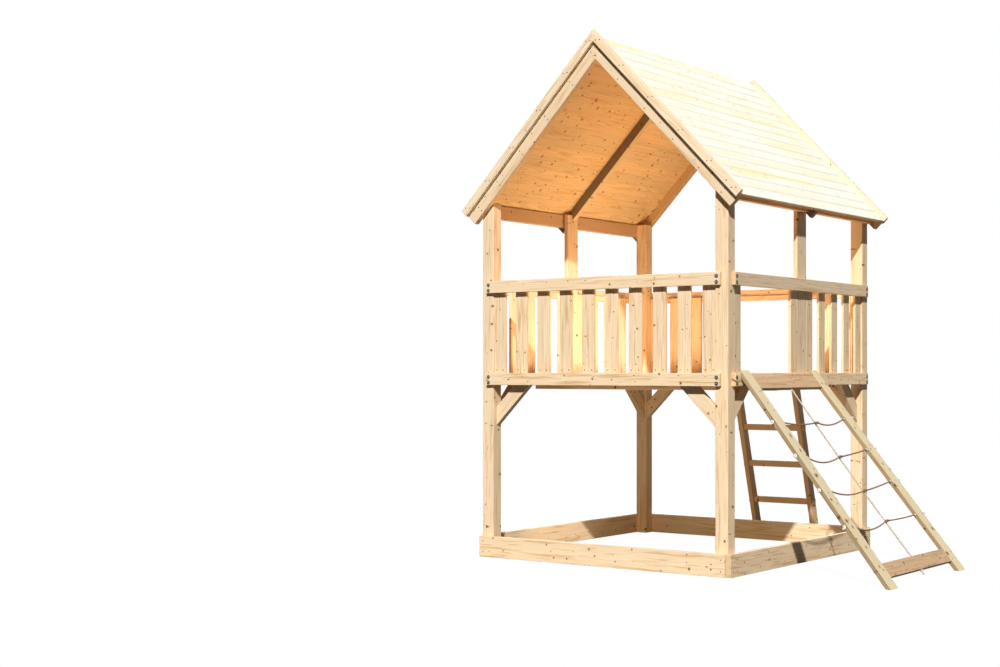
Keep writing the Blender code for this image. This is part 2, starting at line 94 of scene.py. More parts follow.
class End(Enum):
    """The tower's front or back, and which way Y grows outwards there."""

    FRONT = -1
    BACK = 1

    @property
    def word(self) -> str:
        """The end as it stands in the names of the model's parts."""
        return self.name.lower()


def from_edge(which: Side | End, inside: float, thick: float = 0.0) -> float:
    """Where a thing starts that lies inside one of the frame's outer faces.

    Args:
        which: The side or the end of that face.
        inside: How far inside the face the thing lies.
        thick: How thick it is.

    Returns:
        Its lower X on a side, and its lower Y on an end.
    """
    size = WIDTH if isinstance(which, Side) else DEPTH
    return inside if which.value < 0 else size - inside - thick


@dataclass(frozen=True)
class Lie:
    """How a board lies: the way it runs and the way its wide face looks."""

    along: Vector
    face: Vector
    boxed_heart: bool = False


class Face(Enum):
    """One of the frame's four upright faces."""

    FRONT = "front"
    BACK = "back"
    LEFT = "left"
    RIGHT = "right"

    @property
    def broad(self) -> bool:
        """Whether the face runs from left to right."""
        return self in (Face.FRONT, Face.BACK)

    @property
    def span(self) -> float:
        """How far the face runs."""
        return WIDTH if self.broad else DEPTH

    @property
    def lie(self) -> Lie:
        """How a level board lies on the face."""
        return Lie(EAST, NORTH) if self.broad else Lie(NORTH, EAST)

    @property
    def out(self) -> Vector:
        """The way out of the face."""
        return self.lie.face * (-1 if self in (Face.FRONT, Face.LEFT) else 1)

    def at(self, run: float, inside: float, z: float) -> Vector:
        """A point on the face, or outside or inside it.

        Args:
            run: How far along the face it lies.
            inside: How far inside the face it lies.
            z: Its height.

        Returns:
            The point in tower coordinates.
        """
        room = DEPTH if self.broad else WIDTH
        deep = inside if self in (Face.FRONT, Face.LEFT) else room - inside
        return self.lie.along * run + self.lie.face * deep + UP * z


class Wire:
    """An output socket that answers to arithmetic with Math nodes."""

    def __init__(self, sheet: "NodeSheet", socket: bpy.types.NodeSocket) -> None:
        """Keep the socket and the sheet that it belongs to."""
        self.sheet = sheet
        self.socket = socket

    def twin(self, name: str) -> "Wire":
        """Another output of the same node."""
        return Wire(self.sheet, self.socket.node.outputs[name])

    def math(self, operation: str, *others: "Wire | float") -> "Wire":
        """Join this value to others with one Math node.

        Args:
            operation: The Math node's operation.
            *others: The node's further inputs.

        Returns:
            The node's value.
        """
        inputs = dict(enumerate((self, *others)))
        return self.sheet.node("ShaderNodeMath", {"operation": operation}, inputs)

    def __add__(self, other: "Wire | float") -> "Wire":
        """Sum of two values."""
        return self.math("ADD", other)

    __radd__ = __add__

    def __mul__(self, other: "Wire | float") -> "Wire":
        """Product of two values."""
        return self.math("MULTIPLY", other)

    __rmul__ = __mul__

    def __sub__(self, other: "Wire | float") -> "Wire":
        """This value less another."""
        return self.math("SUBTRACT", other)

    def __rsub__(self, other: float) -> "Wire":
        """A number less this value."""
        return self.sheet.node("ShaderNodeMath", {"operation": "SUBTRACT"}, {0: other, 1: self})

    def __truediv__(self, other: "Wire | float") -> "Wire":
        """This value divided by another."""
        return self.math("DIVIDE", other)

    def __pow__(self, other: float) -> "Wire":
        """This value to a power."""
        return self.math("POWER", other)

    def step(self, low: float, high: float) -> "Wire":
        """A soft step from 0 at one value to 1 at another."""
        return self.sheet.node(
            "ShaderNodeMapRange",
            {"interpolation_type": "SMOOTHSTEP"},
            {"Value": self, "From Min": low, "From Max": high},
        )


class NodeSheet:
    """The nodes of one material or of the world."""

    def __init__(self, owner: bpy.types.Material | bpy.types.World) -> None:
        """Open a material's or a world's nodes.

        Args:
            owner: The material or the world.
        """
        owner.use_nodes = True
        self.owner = owner
        self.nodes = owner.node_tree.nodes
        self.links = owner.node_tree.links

    @property
    def shader(self) -> bpy.types.Node:
        """The material's Principled shader."""
        return self.nodes["Principled BSDF"]

    def node(
        self,
        kind: str,
        settings: dict[str, object] | None = None,
        sockets: dict[str | int, object] | None = None,
    ) -> Wire:
        """Add a node.

        Args:
            kind: The node's type.
            settings: Its own properties, set first.
            sockets: Values or wires for its inputs.

        Returns:
            The node's first output in use.
        """
        made = self.nodes.new(kind)
        for key, value in (settings or {}).items():
            setattr(made, key, value)
        for key, value in (sockets or {}).items():
            self.feed(made.inputs[key], value)
        first = next(socket for socket in made.outputs if socket.enabled)
        return Wire(self, first)

    def feed(self, socket: bpy.types.NodeSocket, value: object) -> None:
        """Link a wire to an input, or write a value on it.

        Args:
            socket: The input.
            value: A wire, a number, a colour or a vector.
        """
        if isinstance(value, Wire):
            self.links.new(value.socket, socket)
        elif isinstance(value, tuple) and socket.type == "RGBA":
            socket.default_value = (*value, 1.0)
        else:
            socket.default_value = value

    def attribute(self, name: str) -> Wire:
        """A mesh attribute as a vector, with its number as the twin Fac."""
        wire = self.node("ShaderNodeAttribute", {"attribute_name": name})
        return wire.twin("Vector")

    def vector(self, x: Wire | float, y: Wire | float, z: Wire | float) -> Wire:
        """Three values as one vector."""
        return self.node("ShaderNodeCombineXYZ", None, {0: x, 1: y, 2: z})

    def noise(self, vector: Wire, scale: float, detail: float = 2.0) -> Wire:
        """Soft noise from 0 to 1."""
        return self.node(
            "ShaderNodeTexNoise",
            {"noise_dimensions": "3D"},
            {"Vector": vector, "Scale": scale, "Detail": detail},
        )

    def mix(self, share: Wire | float, first: object, second: object) -> Wire:
        """Blend one colour into another.

        Args:
            share: The second colour's share.
            first: A colour or a wire.
            second: A colour or a wire.

        Returns:
            The blend.
        """
        made = self.nodes.new("ShaderNodeMix")
        made.data_type = "RGBA"
        self.feed(made.inputs[0], share)
        self.feed(made.inputs[6], first)
        self.feed(made.inputs[7], second)
        return Wire(self, made.outputs[2])

    def brighten(self, colour: Wire, share: Wire) -> Wire:
        """Scale a colour by a value."""
        return self.node("ShaderNodeVectorMath", {"operation": "SCALE"}, {0: colour, "Scale": share})

    def finish(self, colour: Wire, roughness: object, height: Wire, distance: float) -> None:
        """Wire the shader.

        Args:
            colour: The base colour.
            roughness: A wire or a number.
            height: The relief, from 0 to 1.
            distance: How deep the relief is, in metres.
        """
        bump = self.node("ShaderNodeBump", None, {"Height": height, "Distance": distance, "Strength": 0.8})
        self.feed(self.shader.inputs["Base Color"], colour)
        self.feed(self.shader.inputs["Roughness"], roughness)
        self.feed(self.shader.inputs["Normal"], bump)


@dataclass(frozen=True)
class Finish:
    """A material that is drawn once and shared by every piece that wears it."""

    DULL = 0.15

    name: str

    def material(self) -> bpy.types.Material:
        """Draw the finish once and hand out the same one after that.

        Returns:
            The finished material.
        """
        known = bpy.data.materials.get(self.name)
        if known is None:
            known = bpy.data.materials.new(self.name)
            self.draw(NodeSheet(known))
        return known

    def draw(self, sheet: NodeSheet) -> None:
        """Draw the finish on its material's nodes."""
        raise NotImplementedError


@dataclass(frozen=True)
class TimberFinish(Finish):
    """Planed softwood of one kind, drawn from each board's own grain.

    The ring is the growth rings' spacing. They sway slowly, ripple finely and
    swirl round knots. Contrast, streaks and knots are shares from 0 to 1. Knots
    are knot_apart along the tree and knot_turn round it, in radians. Where a
    vertex's mark for the lit face has passed its share, the wood takes pale lit
    colours: painted light falling on that face.
    bleached where a vertex's weather has passed bleached_from.
    """

    slot: str
    pale: Colour = (0.92, 0.725, 0.49)
    late: Colour = (0.68, 0.44, 0.21)
    warm: Colour = (0.88, 0.635, 0.38)
    resin: Colour = (0.60, 0.34, 0.13)
    knot: Colour = (0.10, 0.040, 0.016)
    # Pale colours of the lit face: painted light
    bleached: Colour = (0.96, 0.945, 0.85)
    yellowed: Colour = (0.97, 0.885, 0.53)
    ring: float = 0.0050
    sway: float = 0.030
    ripple: float = 0.0045
    swirl: float = 0.009
    contrast: float = 0.60
    streaks: float = 0.55
    knots: float = 0.50
    knot_size: float = 0.0078
    knot_apart: float = 0.17
    knot_turn: float = 0.62
    # Knots left on the lit face, and where its painted light starts and how fast it grows
    knots_bleached: float = 0.18
    bleached_from: float = 0.55
    bleached_over: float = 0.09
    roughness: float = 0.62
    relief: float = 0.0007

    def draw(self, sheet: NodeSheet) -> None:
        """Draw growth rings, knots, fibres, tone and the face painted as lit.

        Args:
            sheet: The material's nodes.
        """
        tone = sheet.attribute("tone").twin("Fac")
        weather = sheet.attribute("weather").twin("Fac")
        x = sheet.node("ShaderNodeSeparateXYZ", None, {0: sheet.attribute("grain")})
        y = x.twin("Y")
        z = x.twin("Z")

        def fibres(along: float, across: float, detail: float = 2.0) -> Wire:
            """Noise that is stretched along the grain."""
            return sheet.noise(sheet.vector(x * along, y * across, z * across), 1.0, detail)

        sway = (fibres(1.44, 4.8, 1.0) - 0.5) * self.sway
        radius = ((y + sway) ** 2.0 + (z + sway * 0.6) ** 2.0) ** 0.5
        knot, swirl, rim = self._knots(sheet, x, y.math("ARCTAN2", z), radius)
        rings = (radius + (fibres(3.0, 22.0) - 0.5) * self.ripple + swirl * self.swirl) / self.ring
        share = rings.math("FRACT")
        late = share.step(0.35, 0.92) * (1.0 - share.step(0.92, 1.0))
        strength = sheet.noise(sheet.vector(rings * 0.37, 0.0, x * 0.4), 1.0, 0.0).step(0.2, 0.8)
        streak = fibres(2.2, 160.0, 3.0)
        figure = fibres(2.6, 48.0)
        patch = fibres(1.3, 10.0)
        pocket = fibres(5.0, 75.0).step(0.56, 0.68) * patch.step(0.40, 0.60)

        bare = sheet.mix(0.10 + 0.85 * patch * tone, self.pale, self.warm)
        bare = sheet.mix(late * (0.35 + 0.65 * strength) * self.contrast, bare, self.late)
        bare = sheet.mix(figure.step(0.52, 0.74) * self.streaks, bare, self.resin)
        bare = sheet.mix(pocket * self.streaks * 0.8, bare, self.resin)
        level = (0.89 + 0.14 * tone) * (0.93 + 0.13 * streak) * (0.94 + 0.14 * figure)
        bare = sheet.brighten(bare, level)

        # Painted light: the lit face turns pale, as under falling light, and its knots fade
        lit_yellowing = patch.step(0.44, 0.66) * (0.25 + 0.7 * tone)
        lit_wood = sheet.mix(lit_yellowing, self.bleached, self.yellowed)
        lit_wood = sheet.brighten(lit_wood, 0.97 + 0.04 * streak)
        lit_share = weather.step(self.bleached_from, self.bleached_from + self.bleached_over)
        colour = sheet.mix(lit_share * (1.0 - 0.12 * figure), bare, lit_wood)

        end_grain = (weather * -1.0).step(0.4, 0.9)
        colour = sheet.mix(end_grain * (0.30 + 0.20 * streak), colour, self.resin)
        shown = 1.0 - lit_share * (1.0 - self.knots_bleached)
        colour = sheet.mix(rim * shown * 0.75, colour, self.late)
        colour = sheet.mix(knot * shown * 0.94, colour, self.knot)

        height = streak * 0.45 + late * 0.25 - knot * 0.35
        rough = self.roughness - 0.10 * late + 0.12 * (streak - 0.5)
        sheet.shader.inputs["Specular IOR Level"].default_value = self.DULL
        sheet.finish(colour, rough, height, self.relief)

    def _knots(self, sheet: NodeSheet, x: Wire, angle: Wire, radius: Wire) -> tuple[Wire, Wire, Wire]:
        """Branches that leave the heart of the tree at scattered places.

        Args:
            sheet: The material's nodes.
            x: The place along the grain.
            angle: The direction round the heart.
            radius: The distance from the heart.

        Returns:
            The dark of each knot, the swirl of the rings round it and its rim.
        """
        run = x / self.knot_apart
        turn = angle / self.knot_turn
        spots = sheet.node(
            "ShaderNodeTexVoronoi",
            {"voronoi_dimensions": "2D", "feature": "F1"},
            {"Vector": sheet.vector(run, turn, 0.0), "Scale": 1.0, "Randomness": 0.95},
        )
        at = sheet.node("ShaderNodeSeparateXYZ", None, {0: spots.twin("Position")})
        luck = sheet.node("ShaderNodeSeparateColor", None, {0: spots.twin("Color")})
        big = luck.twin("Green")
        off_x = (run - at) * (self.knot_apart * 0.85)
        off_y = (turn - at.twin("Y")) * self.knot_turn * radius.math("MAXIMUM", 0.012)
        kept = luck.step(1.0 - self.knots - 0.02, 1.0 - self.knots + 0.02)
        size = (0.32 + 0.68 * big**2.0) * kept * self.knot_size + 0.0001
        wobble = sheet.noise(sheet.vector(off_x * 240.0, off_y * 240.0, luck.twin("Blue") * 9.0), 1.0)
        near = (off_x**2.0 + off_y**2.0) ** 0.5 / size + (wobble - 0.5) * 0.5
        dark = (1.0 - near.step(0.62, 1.02)) * kept
        swirl = (1.0 - near.step(0.0, 4.5)) * kept * big
        return dark, swirl, (1.0 - near.step(1.0, 1.9)) * kept


@dataclass(frozen=True)
class SteelFinish(Finish):
    """Steel of the bolts and screws, dark in the flange, with a painted highlight on the dome's top."""

    dark: Colour
    bright: Colour
    roughness: float
    spots: float = 420.0

    def draw(self, sheet: NodeSheet) -> None:
        """Draw a coating with duller spots, and a painted highlight where the dome rises highest.

        Args:
            sheet: The material's nodes.
        """
        place = sheet.node("ShaderNodeTexCoord").twin("Object")
        spots = sheet.noise(place, self.spots, 3.0)
        polish = sheet.attribute("polish").twin("Fac")
        colour = sheet.mix(polish * (0.75 + 0.4 * spots), self.dark, self.bright)
        sheet.shader.inputs["Metallic"].default_value = 0.85
        sheet.finish(colour, self.roughness + 0.2 * (spots - 0.5), spots, 0.0002)


@dataclass(frozen=True)
class RopeFinish(Finish):
    """Twisted fibre rope, drawn along its strands."""

    slot: str
    pale: Colour
    dark: Colour

    def draw(self, sheet: NodeSheet) -> None:
        """Draw fine fibres that follow the strands, with painted shade in the furrows.

        Args:
            sheet: The material's nodes.
        """
        lay = sheet.attribute("lay")
        furrow = sheet.attribute("furrow").twin("Fac")
        sockets = {0: lay, 1: (60.0, 9.0, 9.0)}
        stretched = sheet.node("ShaderNodeVectorMath", {"operation": "MULTIPLY"}, sockets)
        fibre = sheet.noise(stretched, 1.0, 4.0)
        colour = sheet.mix(fibre * 0.55 + furrow * 0.45, self.pale, self.dark)
        colour = sheet.brighten(colour, 0.82 + 0.34 * sheet.noise(lay, 7.0, 2.0))
        sheet.shader.inputs["Specular IOR Level"].default_value = self.DULL
        sheet.finish(colour, 0.86 + 0.1 * (fibre - 0.5), fibre, 0.0006)


class Timber(Enum):
    """The kinds of wood on the tower."""

    POST = TimberFinish("post_timber", "post_wood", knots=0.42)
    BOARD = TimberFinish("board_timber", "board_wood", knots=0.55, streaks=0.80)
    SLAT = TimberFinish("slat_timber", "slat_wood", knots=0.52, knot_size=0.0066, streaks=0.65)
    FLOOR = TimberFinish("floor_timber", "floor_wood", pale=(0.86, 0.60, 0.34))
    LADDER = TimberFinish("ladder_timber", "board_wood", pale=(0.82, 0.57, 0.33), warm=(0.70, 0.45, 0.23))
    # Roof boards: the upper faces take the painted lit colours; the deeper orange base is partly the wood's
    # tone and partly painted warm bounce light
    ROOF = TimberFinish(
        "roof_timber",
        "roof_wood",
        pale=(0.90, 0.65, 0.335),
        warm=(0.82, 0.545, 0.26),
        late=(0.62, 0.36, 0.15),
        knot=(0.28, 0.11, 0.04),
        knots=0.64,
        knot_size=0.0105,
    )
    RAFTER = TimberFinish("rafter_timber", "post_wood", pale=(0.71, 0.50, 0.27), warm=(0.64, 0.43, 0.21))
    # Middle rafters: the dark brown is painted shade, and the paler undersides are painted light
    DARK_RAFTER = TimberFinish(
        "dark_rafter_timber",
        "post_wood",
        pale=(0.31, 0.23, 0.155),
        warm=(0.28, 0.205, 0.13),
        late=(0.18, 0.13, 0.085),
        resin=(0.18, 0.12, 0.07),
        bleached=(0.76, 0.59, 0.32),
        yellowed=(0.70, 0.52, 0.27),
        knots_bleached=0.85,
        bleached_from=0.90,
    )
    # Purlins: a darker copy of the board wood, as painted shade
    PURLIN = TimberFinish("purlin_timber", "board_wood", pale=(0.68, 0.45, 0.26), warm=(0.61, 0.39, 0.21))
    BARGE = TimberFinish(
        "barge_timber",
        "roof_wood",
        pale=(0.95, 0.78, 0.56),
        warm=(0.92, 0.70, 0.45),
        knot=(0.19, 0.08, 0.03),
        knots=0.34,
        knot_size=0.0065,
    )
    # Ramp rails: the dark brown base on the sides is painted shade, and the pale upper faces are painted
    # light
    RAMP = TimberFinish(
        "ramp_timber",
        "ramp_wood",
        pale=(0.42, 0.31, 0.18),
        warm=(0.37, 0.26, 0.14),
        late=(0.29, 0.19, 0.09),
        resin=(0.26, 0.16, 0.065),
        bleached=(0.76, 0.635, 0.41),
        yellowed=(0.71, 0.56, 0.32),
        knots=0.62,
        knot_size=0.012,
        knots_bleached=0.85,
        bleached_from=0.90,
    )
    BAR = TimberFinish(
        "bar_timber",
        "board_wood",
        pale=(0.70, 0.46, 0.27),
        warm=(0.56, 0.40, 0.21),
        late=(0.36, 0.22, 0.11),
        resin=(0.28, 0.17, 0.08),
    )


# The second colour of each steel is a painted highlight on the dome's top
BOLT_STEEL = SteelFinish("bolt_steel", (0.030, 0.026, 0.022), (0.25, 0.25, 0.215), 0.38)
SCREW_STEEL = SteelFinish("screw_steel", (0.045, 0.028, 0.014), (0.11, 0.07, 0.04), 0.5)
HEMP = RopeFinish("hemp_rope", "rope_fibre", (0.46, 0.28, 0.16), (0.19, 0.095, 0.045))
LINE = RopeFinish("pale_rope", "rope_fibre", (0.70, 0.60, 0.48), (0.40, 0.30, 0.20))
COTTON = RopeFinish("whipped_knot", "rope_fibre", (0.95, 0.94, 0.90), (0.70, 0.65, 0.56))


class Workbench:
    """Shapes the boards of one piece, each with its own grain and tone.

    Edges that turn by more than SHARP radians are rounded. Vertices less than
    END_DEEP from a board's end bear its end grain. The ranges say how far a
    board's middle lies from the heart of its tree, at what place along it and
    how far aside, how much its grain runs out, and how dark it is.
    """

    SHARP = 0.2
    FLAT = 0.01
    WELD = 1e-5
    END_DEEP = 0.0004
    HEART_BOXED = (0.030, 0.045)
    HEART_AWAY = (0.022, 0.085)
    HEART_ASIDE = 0.035
    TREE_LONG = 60.0
    LEAN_SIDE = 0.022
    LEAN_DEEP = 0.016
    TONES = (0.04, 0.98)

    def __init__(self, node: str, kind: Timber, word: str = "wood", seed: str = "") -> None:
        """Start an empty piece.

        Args:
            node: The part of the model that the piece stands for.
            kind: Its wood.
            word: What the piece's name adds to the part's.
            seed: What fixes the chance of its grain, where that isn't the part's name.
        """
        self.node = node
        self.name = f"{node}_{word}"
        self.finish = kind.value
        self.work = bmesh.new()
        self.grain = self.work.verts.layers.float_vector.new("grain")
        self.tone = self.work.verts.layers.float.new("tone")
        self.weather = self.work.verts.layers.float.new("weather")
        self.chance = random.Random(seed or node)

    def box(
        self,
        first: Sequence[float],
        second: Sequence[float],
        lie: Lie,
        ease: float = 0.003,
    ) -> "Workbench":
        """Add a board between two opposite corners.

        Args:
            first: One corner.
            second: The opposite corner.
            lie: How the board's grain lies.
            ease: How far its edges are rounded.

        Returns:
            The bench itself.
        """
        low = Vector(map(min, first, second))
        size = Vector(map(max, first, second)) - low
        matrix = Matrix.Translation(low + size / 2) @ Matrix.Diagonal((*size, 1.0))
        made = bmesh.ops.create_cube(self.work, size=1.0, matrix=matrix)
        return self._dress(made["verts"], lie, ease)

    def edge_board(self, face: Face, low: float, high: float) -> "Workbench":
        """Add the board that lies outside one face's posts, between two heights."""
        start = face.at(BOARD_INSET, -BOARD_THICK, low)
        return self.box(start, face.at(face.span - BOARD_INSET, -GAP, high), face.lie)

    def prism(
        self,
        outline: Iterable[Sequence[float]],
        sweep: Sequence[float],
        lie: Lie,
        ease: float = 0.003,
        sunny: Vector | None = None,
    ) -> "Workbench":
        """Add a board with a flat outline.

        Args:
            outline: The corners of one face.
            sweep: The way to the opposite face.
            lie: How the board's grain lies.
            ease: How far its edges are rounded.
            sunny: The way that the face painted as lit looks, if it has one.

        Returns:
            The bench itself.
        """
        start = [self.work.verts.new(point) for point in outline]
        face = self.work.faces.new(start)
        moved = bmesh.ops.extrude_face_region(self.work, geom=[face])["geom"]
        far = [item for item in moved if isinstance(item, bmesh.types.BMVert)]
        bmesh.ops.translate(self.work, verts=far, vec=Vector(sweep))
        return self._dress([*start, *far], lie, ease, sunny)

    def copy_node(self, lie: Lie, ease: float = 0.0025, sunny: Vector | None = None) -> "Workbench":
        """Fill the empty piece with the shape of its part, the edges eased.

        Args:
            lie: How its grain lies.
            ease: How far its edges are rounded.
            sunny: The way that the face painted as lit looks, if it has one.

        Returns:
            The bench itself.
        """
        work = self.work
        work.from_mesh(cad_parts[self.node].data)
        bmesh.ops.translate(work, verts=work.verts, vec=CENTRE)
        bmesh.ops.remove_doubles(work, verts=work.verts, dist=self.WELD)
        bmesh.ops.dissolve_limit(work, angle_limit=self.FLAT, verts=work.verts, edges=work.edges)
        return self._dress(list(work.verts), lie, ease, sunny)

    def done(self) -> None:
        """Turn the boards into the finished piece, in its part's place."""
        obj = settle(self.name, self.work, self.finish)
        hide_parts(self.node)

    def _dress(
        self,
        verts: list[bmesh.types.BMVert],
        lie: Lie,
        ease: float,
        sunny: Vector | None = None,
    ) -> "Workbench":
        """Round a new board's edges and write its grain.

        Args:
            verts: The board's corners.
            lie: How its grain lies.
            ease: How far its edges are rounded.
            sunny: The way that the face painted as lit looks, if it has one.

        Returns:
            The bench itself.
        """
        low = Vector(map(min, *(vert.co for vert in verts)))
        high = Vector(map(max, *(vert.co for vert in verts)))
        self._round_edges(verts, ease)
        fresh = [vert for vert in self.work.verts if vert[self.tone] == 0.0]
        self._write_grain(fresh, (low + high) / 2, lie)
        self._write_weather(fresh, lie, sunny)
        return self

    def _round_edges(self, verts: list[bmesh.types.BMVert], ease: float) -> None:
        """Turn a board's faces outwards and bevel its sharp edges.

        Args:
            verts: The board's corners.
            ease: How far its edges are rounded.
        """
        faces = list({face for vert in verts for face in vert.link_faces})
        bmesh.ops.recalc_face_normals(self.work, faces=faces)
        edges = [
            edge
            for edge in {edge for vert in verts for edge in vert.link_edges}
            if edge.is_manifold and edge.calc_face_angle(0.0) > self.SHARP
        ]
        made = bmesh.ops.bevel(
            self.work,
            geom=edges,
            offset=ease,
            offset_type="OFFSET",
            segments=2,
            profile=0.5,
            affect="EDGES",
            clamp_overlap=True,
            material=-1,
        )
        for face in made["faces"]:
            face.smooth = True

    def _write_grain(self, verts: list[bmesh.types.BMVert], middle: Vector, lie: Lie) -> None:
        """Place a board in a tree of its own, and give it its tone.

        Args:
            verts: The board's vertices.
            middle: Its middle.
            lie: How its grain lies.
        """
        chance = self.chance
        across = lie.along.cross(lie.face).normalized()
        far = chance.uniform(*(self.HEART_BOXED if lie.boxed_heart else self.HEART_AWAY))
        up_tree = chance.uniform(0.0, self.TREE_LONG)
        aside = chance.uniform(-self.HEART_ASIDE, self.HEART_ASIDE)
        shift = Vector((up_tree, aside, far * chance.choice((-1, 1))))
        lean_side = chance.uniform(-self.LEAN_SIDE, self.LEAN_SIDE)
        lean_deep = chance.uniform(-self.LEAN_DEEP, self.LEAN_DEEP)
        tone = chance.uniform(*self.TONES)
        for vert in verts:
            place = vert.co - middle
            run = place.dot(lie.along)
            side = place.dot(across) + run * lean_side
            deep = place.dot(lie.face) + run * lean_deep
            vert[self.grain] = Vector((run, side, deep)) + shift
            vert[self.tone] = tone

    def _write_weather(self, verts: list[bmesh.types.BMVert], lie: Lie, sunny: Vector | None) -> None:
        """Mark how far each vertex lies towards the face painted as lit, or else its cut ends.

        Args:
            verts: The board's vertices.
            lie: How its grain lies.
            sunny: The way that the face painted as lit looks, if it has one.
        """
        places = [vert.co.dot(sunny or lie.along) for vert in verts]
        low, high = min(places), max(places)
        for vert, place in zip(verts, places):
            if sunny is not None:
                vert[self.weather] = (place - low) / (high - low)
            elif min(place - low, high - place) < self.END_DEEP:
                vert[self.weather] = -1.0


def settle(name: str, work: bmesh.types.BMesh, finish: Finish) -> bpy.types.Object:
    """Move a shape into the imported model's frame and let it ride.

    Args:
        name: The object's name.
        work: The shape in tower coordinates, which is used up.
        finish: What it is dressed in.

    Returns:
        The object, at the origin and unturned.
    """
    bmesh.ops.translate(work, verts=work.verts, vec=-CENTRE)
    mesh = bpy.data.meshes.new(name)
    work.to_mesh(mesh)
    work.free()
    mesh.materials.append(finish.material())
    obj = bpy.data.objects.new(name, mesh)
    bpy.context.scene.collection.objects.link(obj)
    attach(obj, BODY)
    log.info("made %s, %d faces", name, len(mesh.polygons))
    return obj


@dataclass(frozen=True)
class Gable:
    """The roof's two slopes, measured from the ridge of their upper faces."""

    rise: float = 1.035
    ridge: float = 3.452
    thick: float = 0.0215
    length: float = 1.527

    @property
    def slope(self) -> float:
        """The angle of a slope over level ground."""
        return math.atan(self.rise)

    @property
    def along(self) -> Vector:
        """The way down the right slope."""
        return Vector((math.cos(self.slope), 0.0, -math.sin(self.slope)))

    @property
    def outward(self) -> Vector:
        """The way out of the right slope's upper face."""
        return Vector((math.sin(self.slope), 0.0, math.cos(self.slope)))

    def mirrored(self, way: Vector, side: Side) -> Vector:
        """A direction of the right slope, turned to the given side."""
        return Vector((way.x * side.value, way.y, way.z))

    def point(self, side: Side, along: float, above: float) -> tuple[float, float]:
        """X and Z at a distance from the ridge and over the upper face."""
        x = HALF + side.value * (along * self.along.x + above * self.outward.x)
        return x, self.ridge + along * self.along.z + above * self.outward.z

    def cut(self, side: Side, above: float) -> tuple[float, float]:
        """X and Z where a line over the upper face meets the ridge's plane."""
        return HALF + side.value * GAP, self.ridge + above / self.outward.z - self.rise * GAP


ROOF = Gable()


def wall(outline: Outline, y: float) -> list[Point]:
    """Points of an X and Z outline at one Y."""
    return [(x, y, z) for x, z in outline]


@dataclass
class PostFrame:
    """Four corner posts, two middle posts and eight knee braces."""

    top: float = 2.425
    ease: float = 0.004
    brace_wide: float = 0.090
    brace_thick: float = 0.045
    brace_inset: float = 0.036
    brace_foot: float = 0.900

    def build(self) -> None:
        """Make every upright and brace, the middle posts housed around their rafters."""
        for side in Side:
            for end in End:
                self._corner_post(side, end)
            Workbench(f"midpost_{side.word}", Timber.POST).copy_node(Lie(UP, EAST)).done()
            for end in End:
                self._brace(side, end, EAST, NORTH)
                self._brace(end, side, NORTH, EAST)

    def _corner_post(self, side: Side, end: End) -> None:
        """Make one corner post, cut flat under the roof boards.

        Args:
            side: The post's side.
            end: The post's end.
        """
        foot = Vector((from_edge(side, 0.0, POST), from_edge(end, 0.0, POST), 0.0))
        head = foot + Vector((POST, POST, self.top))
        bench = Workbench(f"post_{end.word}_{side.word}", Timber.POST)
        bench.box(foot, head, Lie(UP, NORTH, True), self.ease).done()

    def _brace(self, post: Side | End, panel: Side | End, way: Vector, out: Vector) -> None:
        """Make one brace, which rises from a post at forty-five degrees.

        Args:
            post: The side or end of the post that it leaves.
            panel: The side or end that it stands in.
            way: The level way along that panel.
            out: The way through the panel.
        """
        toward = -post.value
        start = from_edge(post, POST) + toward * GAP
        top = FLOOR_TOP - FLOOR_THICK - GAP
        reach = top - self.brace_foot
        tall = self.brace_wide * math.sqrt(2)
        outline = [
            (start, self.brace_foot),
            (start + toward * reach, top),
            (start + toward * (reach - tall), top),
            (start, self.brace_foot + tall),
        ]
        place = out * from_edge(panel, self.brace_inset, self.brace_thick)
        corners = [place + way * run + UP * z for run, z in outline]
        lie = Lie((way * toward + UP).normalized(), out)
        bench = Workbench(f"brace_{panel.word}_{post.word}", Timber.POST)
        bench.prism(corners, out * self.brace_thick, lie).done()


@dataclass
class Sandpit:
    """Four boards on edge round the foot of the posts."""

    height: float = 0.142
    thick: float = 0.040
    joint: float = 0.0016
    ease: float = 0.0018

    def build(self) -> None:
        """Make the four boards, each side board set along by one thickness."""
        t = self.thick
        runs = {
            Face.FRONT: (0.0, WIDTH - self.joint, GAP),
            Face.BACK: (0.0, WIDTH, GAP),
            Face.LEFT: (t, DEPTH + t, GAP),
            Face.RIGHT: (-t, DEPTH - t, self.joint),
        }
        for face, (start, stop, gap) in runs.items():
            node = f"pit_{face.value}"
            bench = Workbench(node, Timber.BOARD, seed=f"{node}_board")
            bench.box(face.at(start, -t, 0.0), face.at(stop, -gap, self.height), face.lie, self.ease).done()


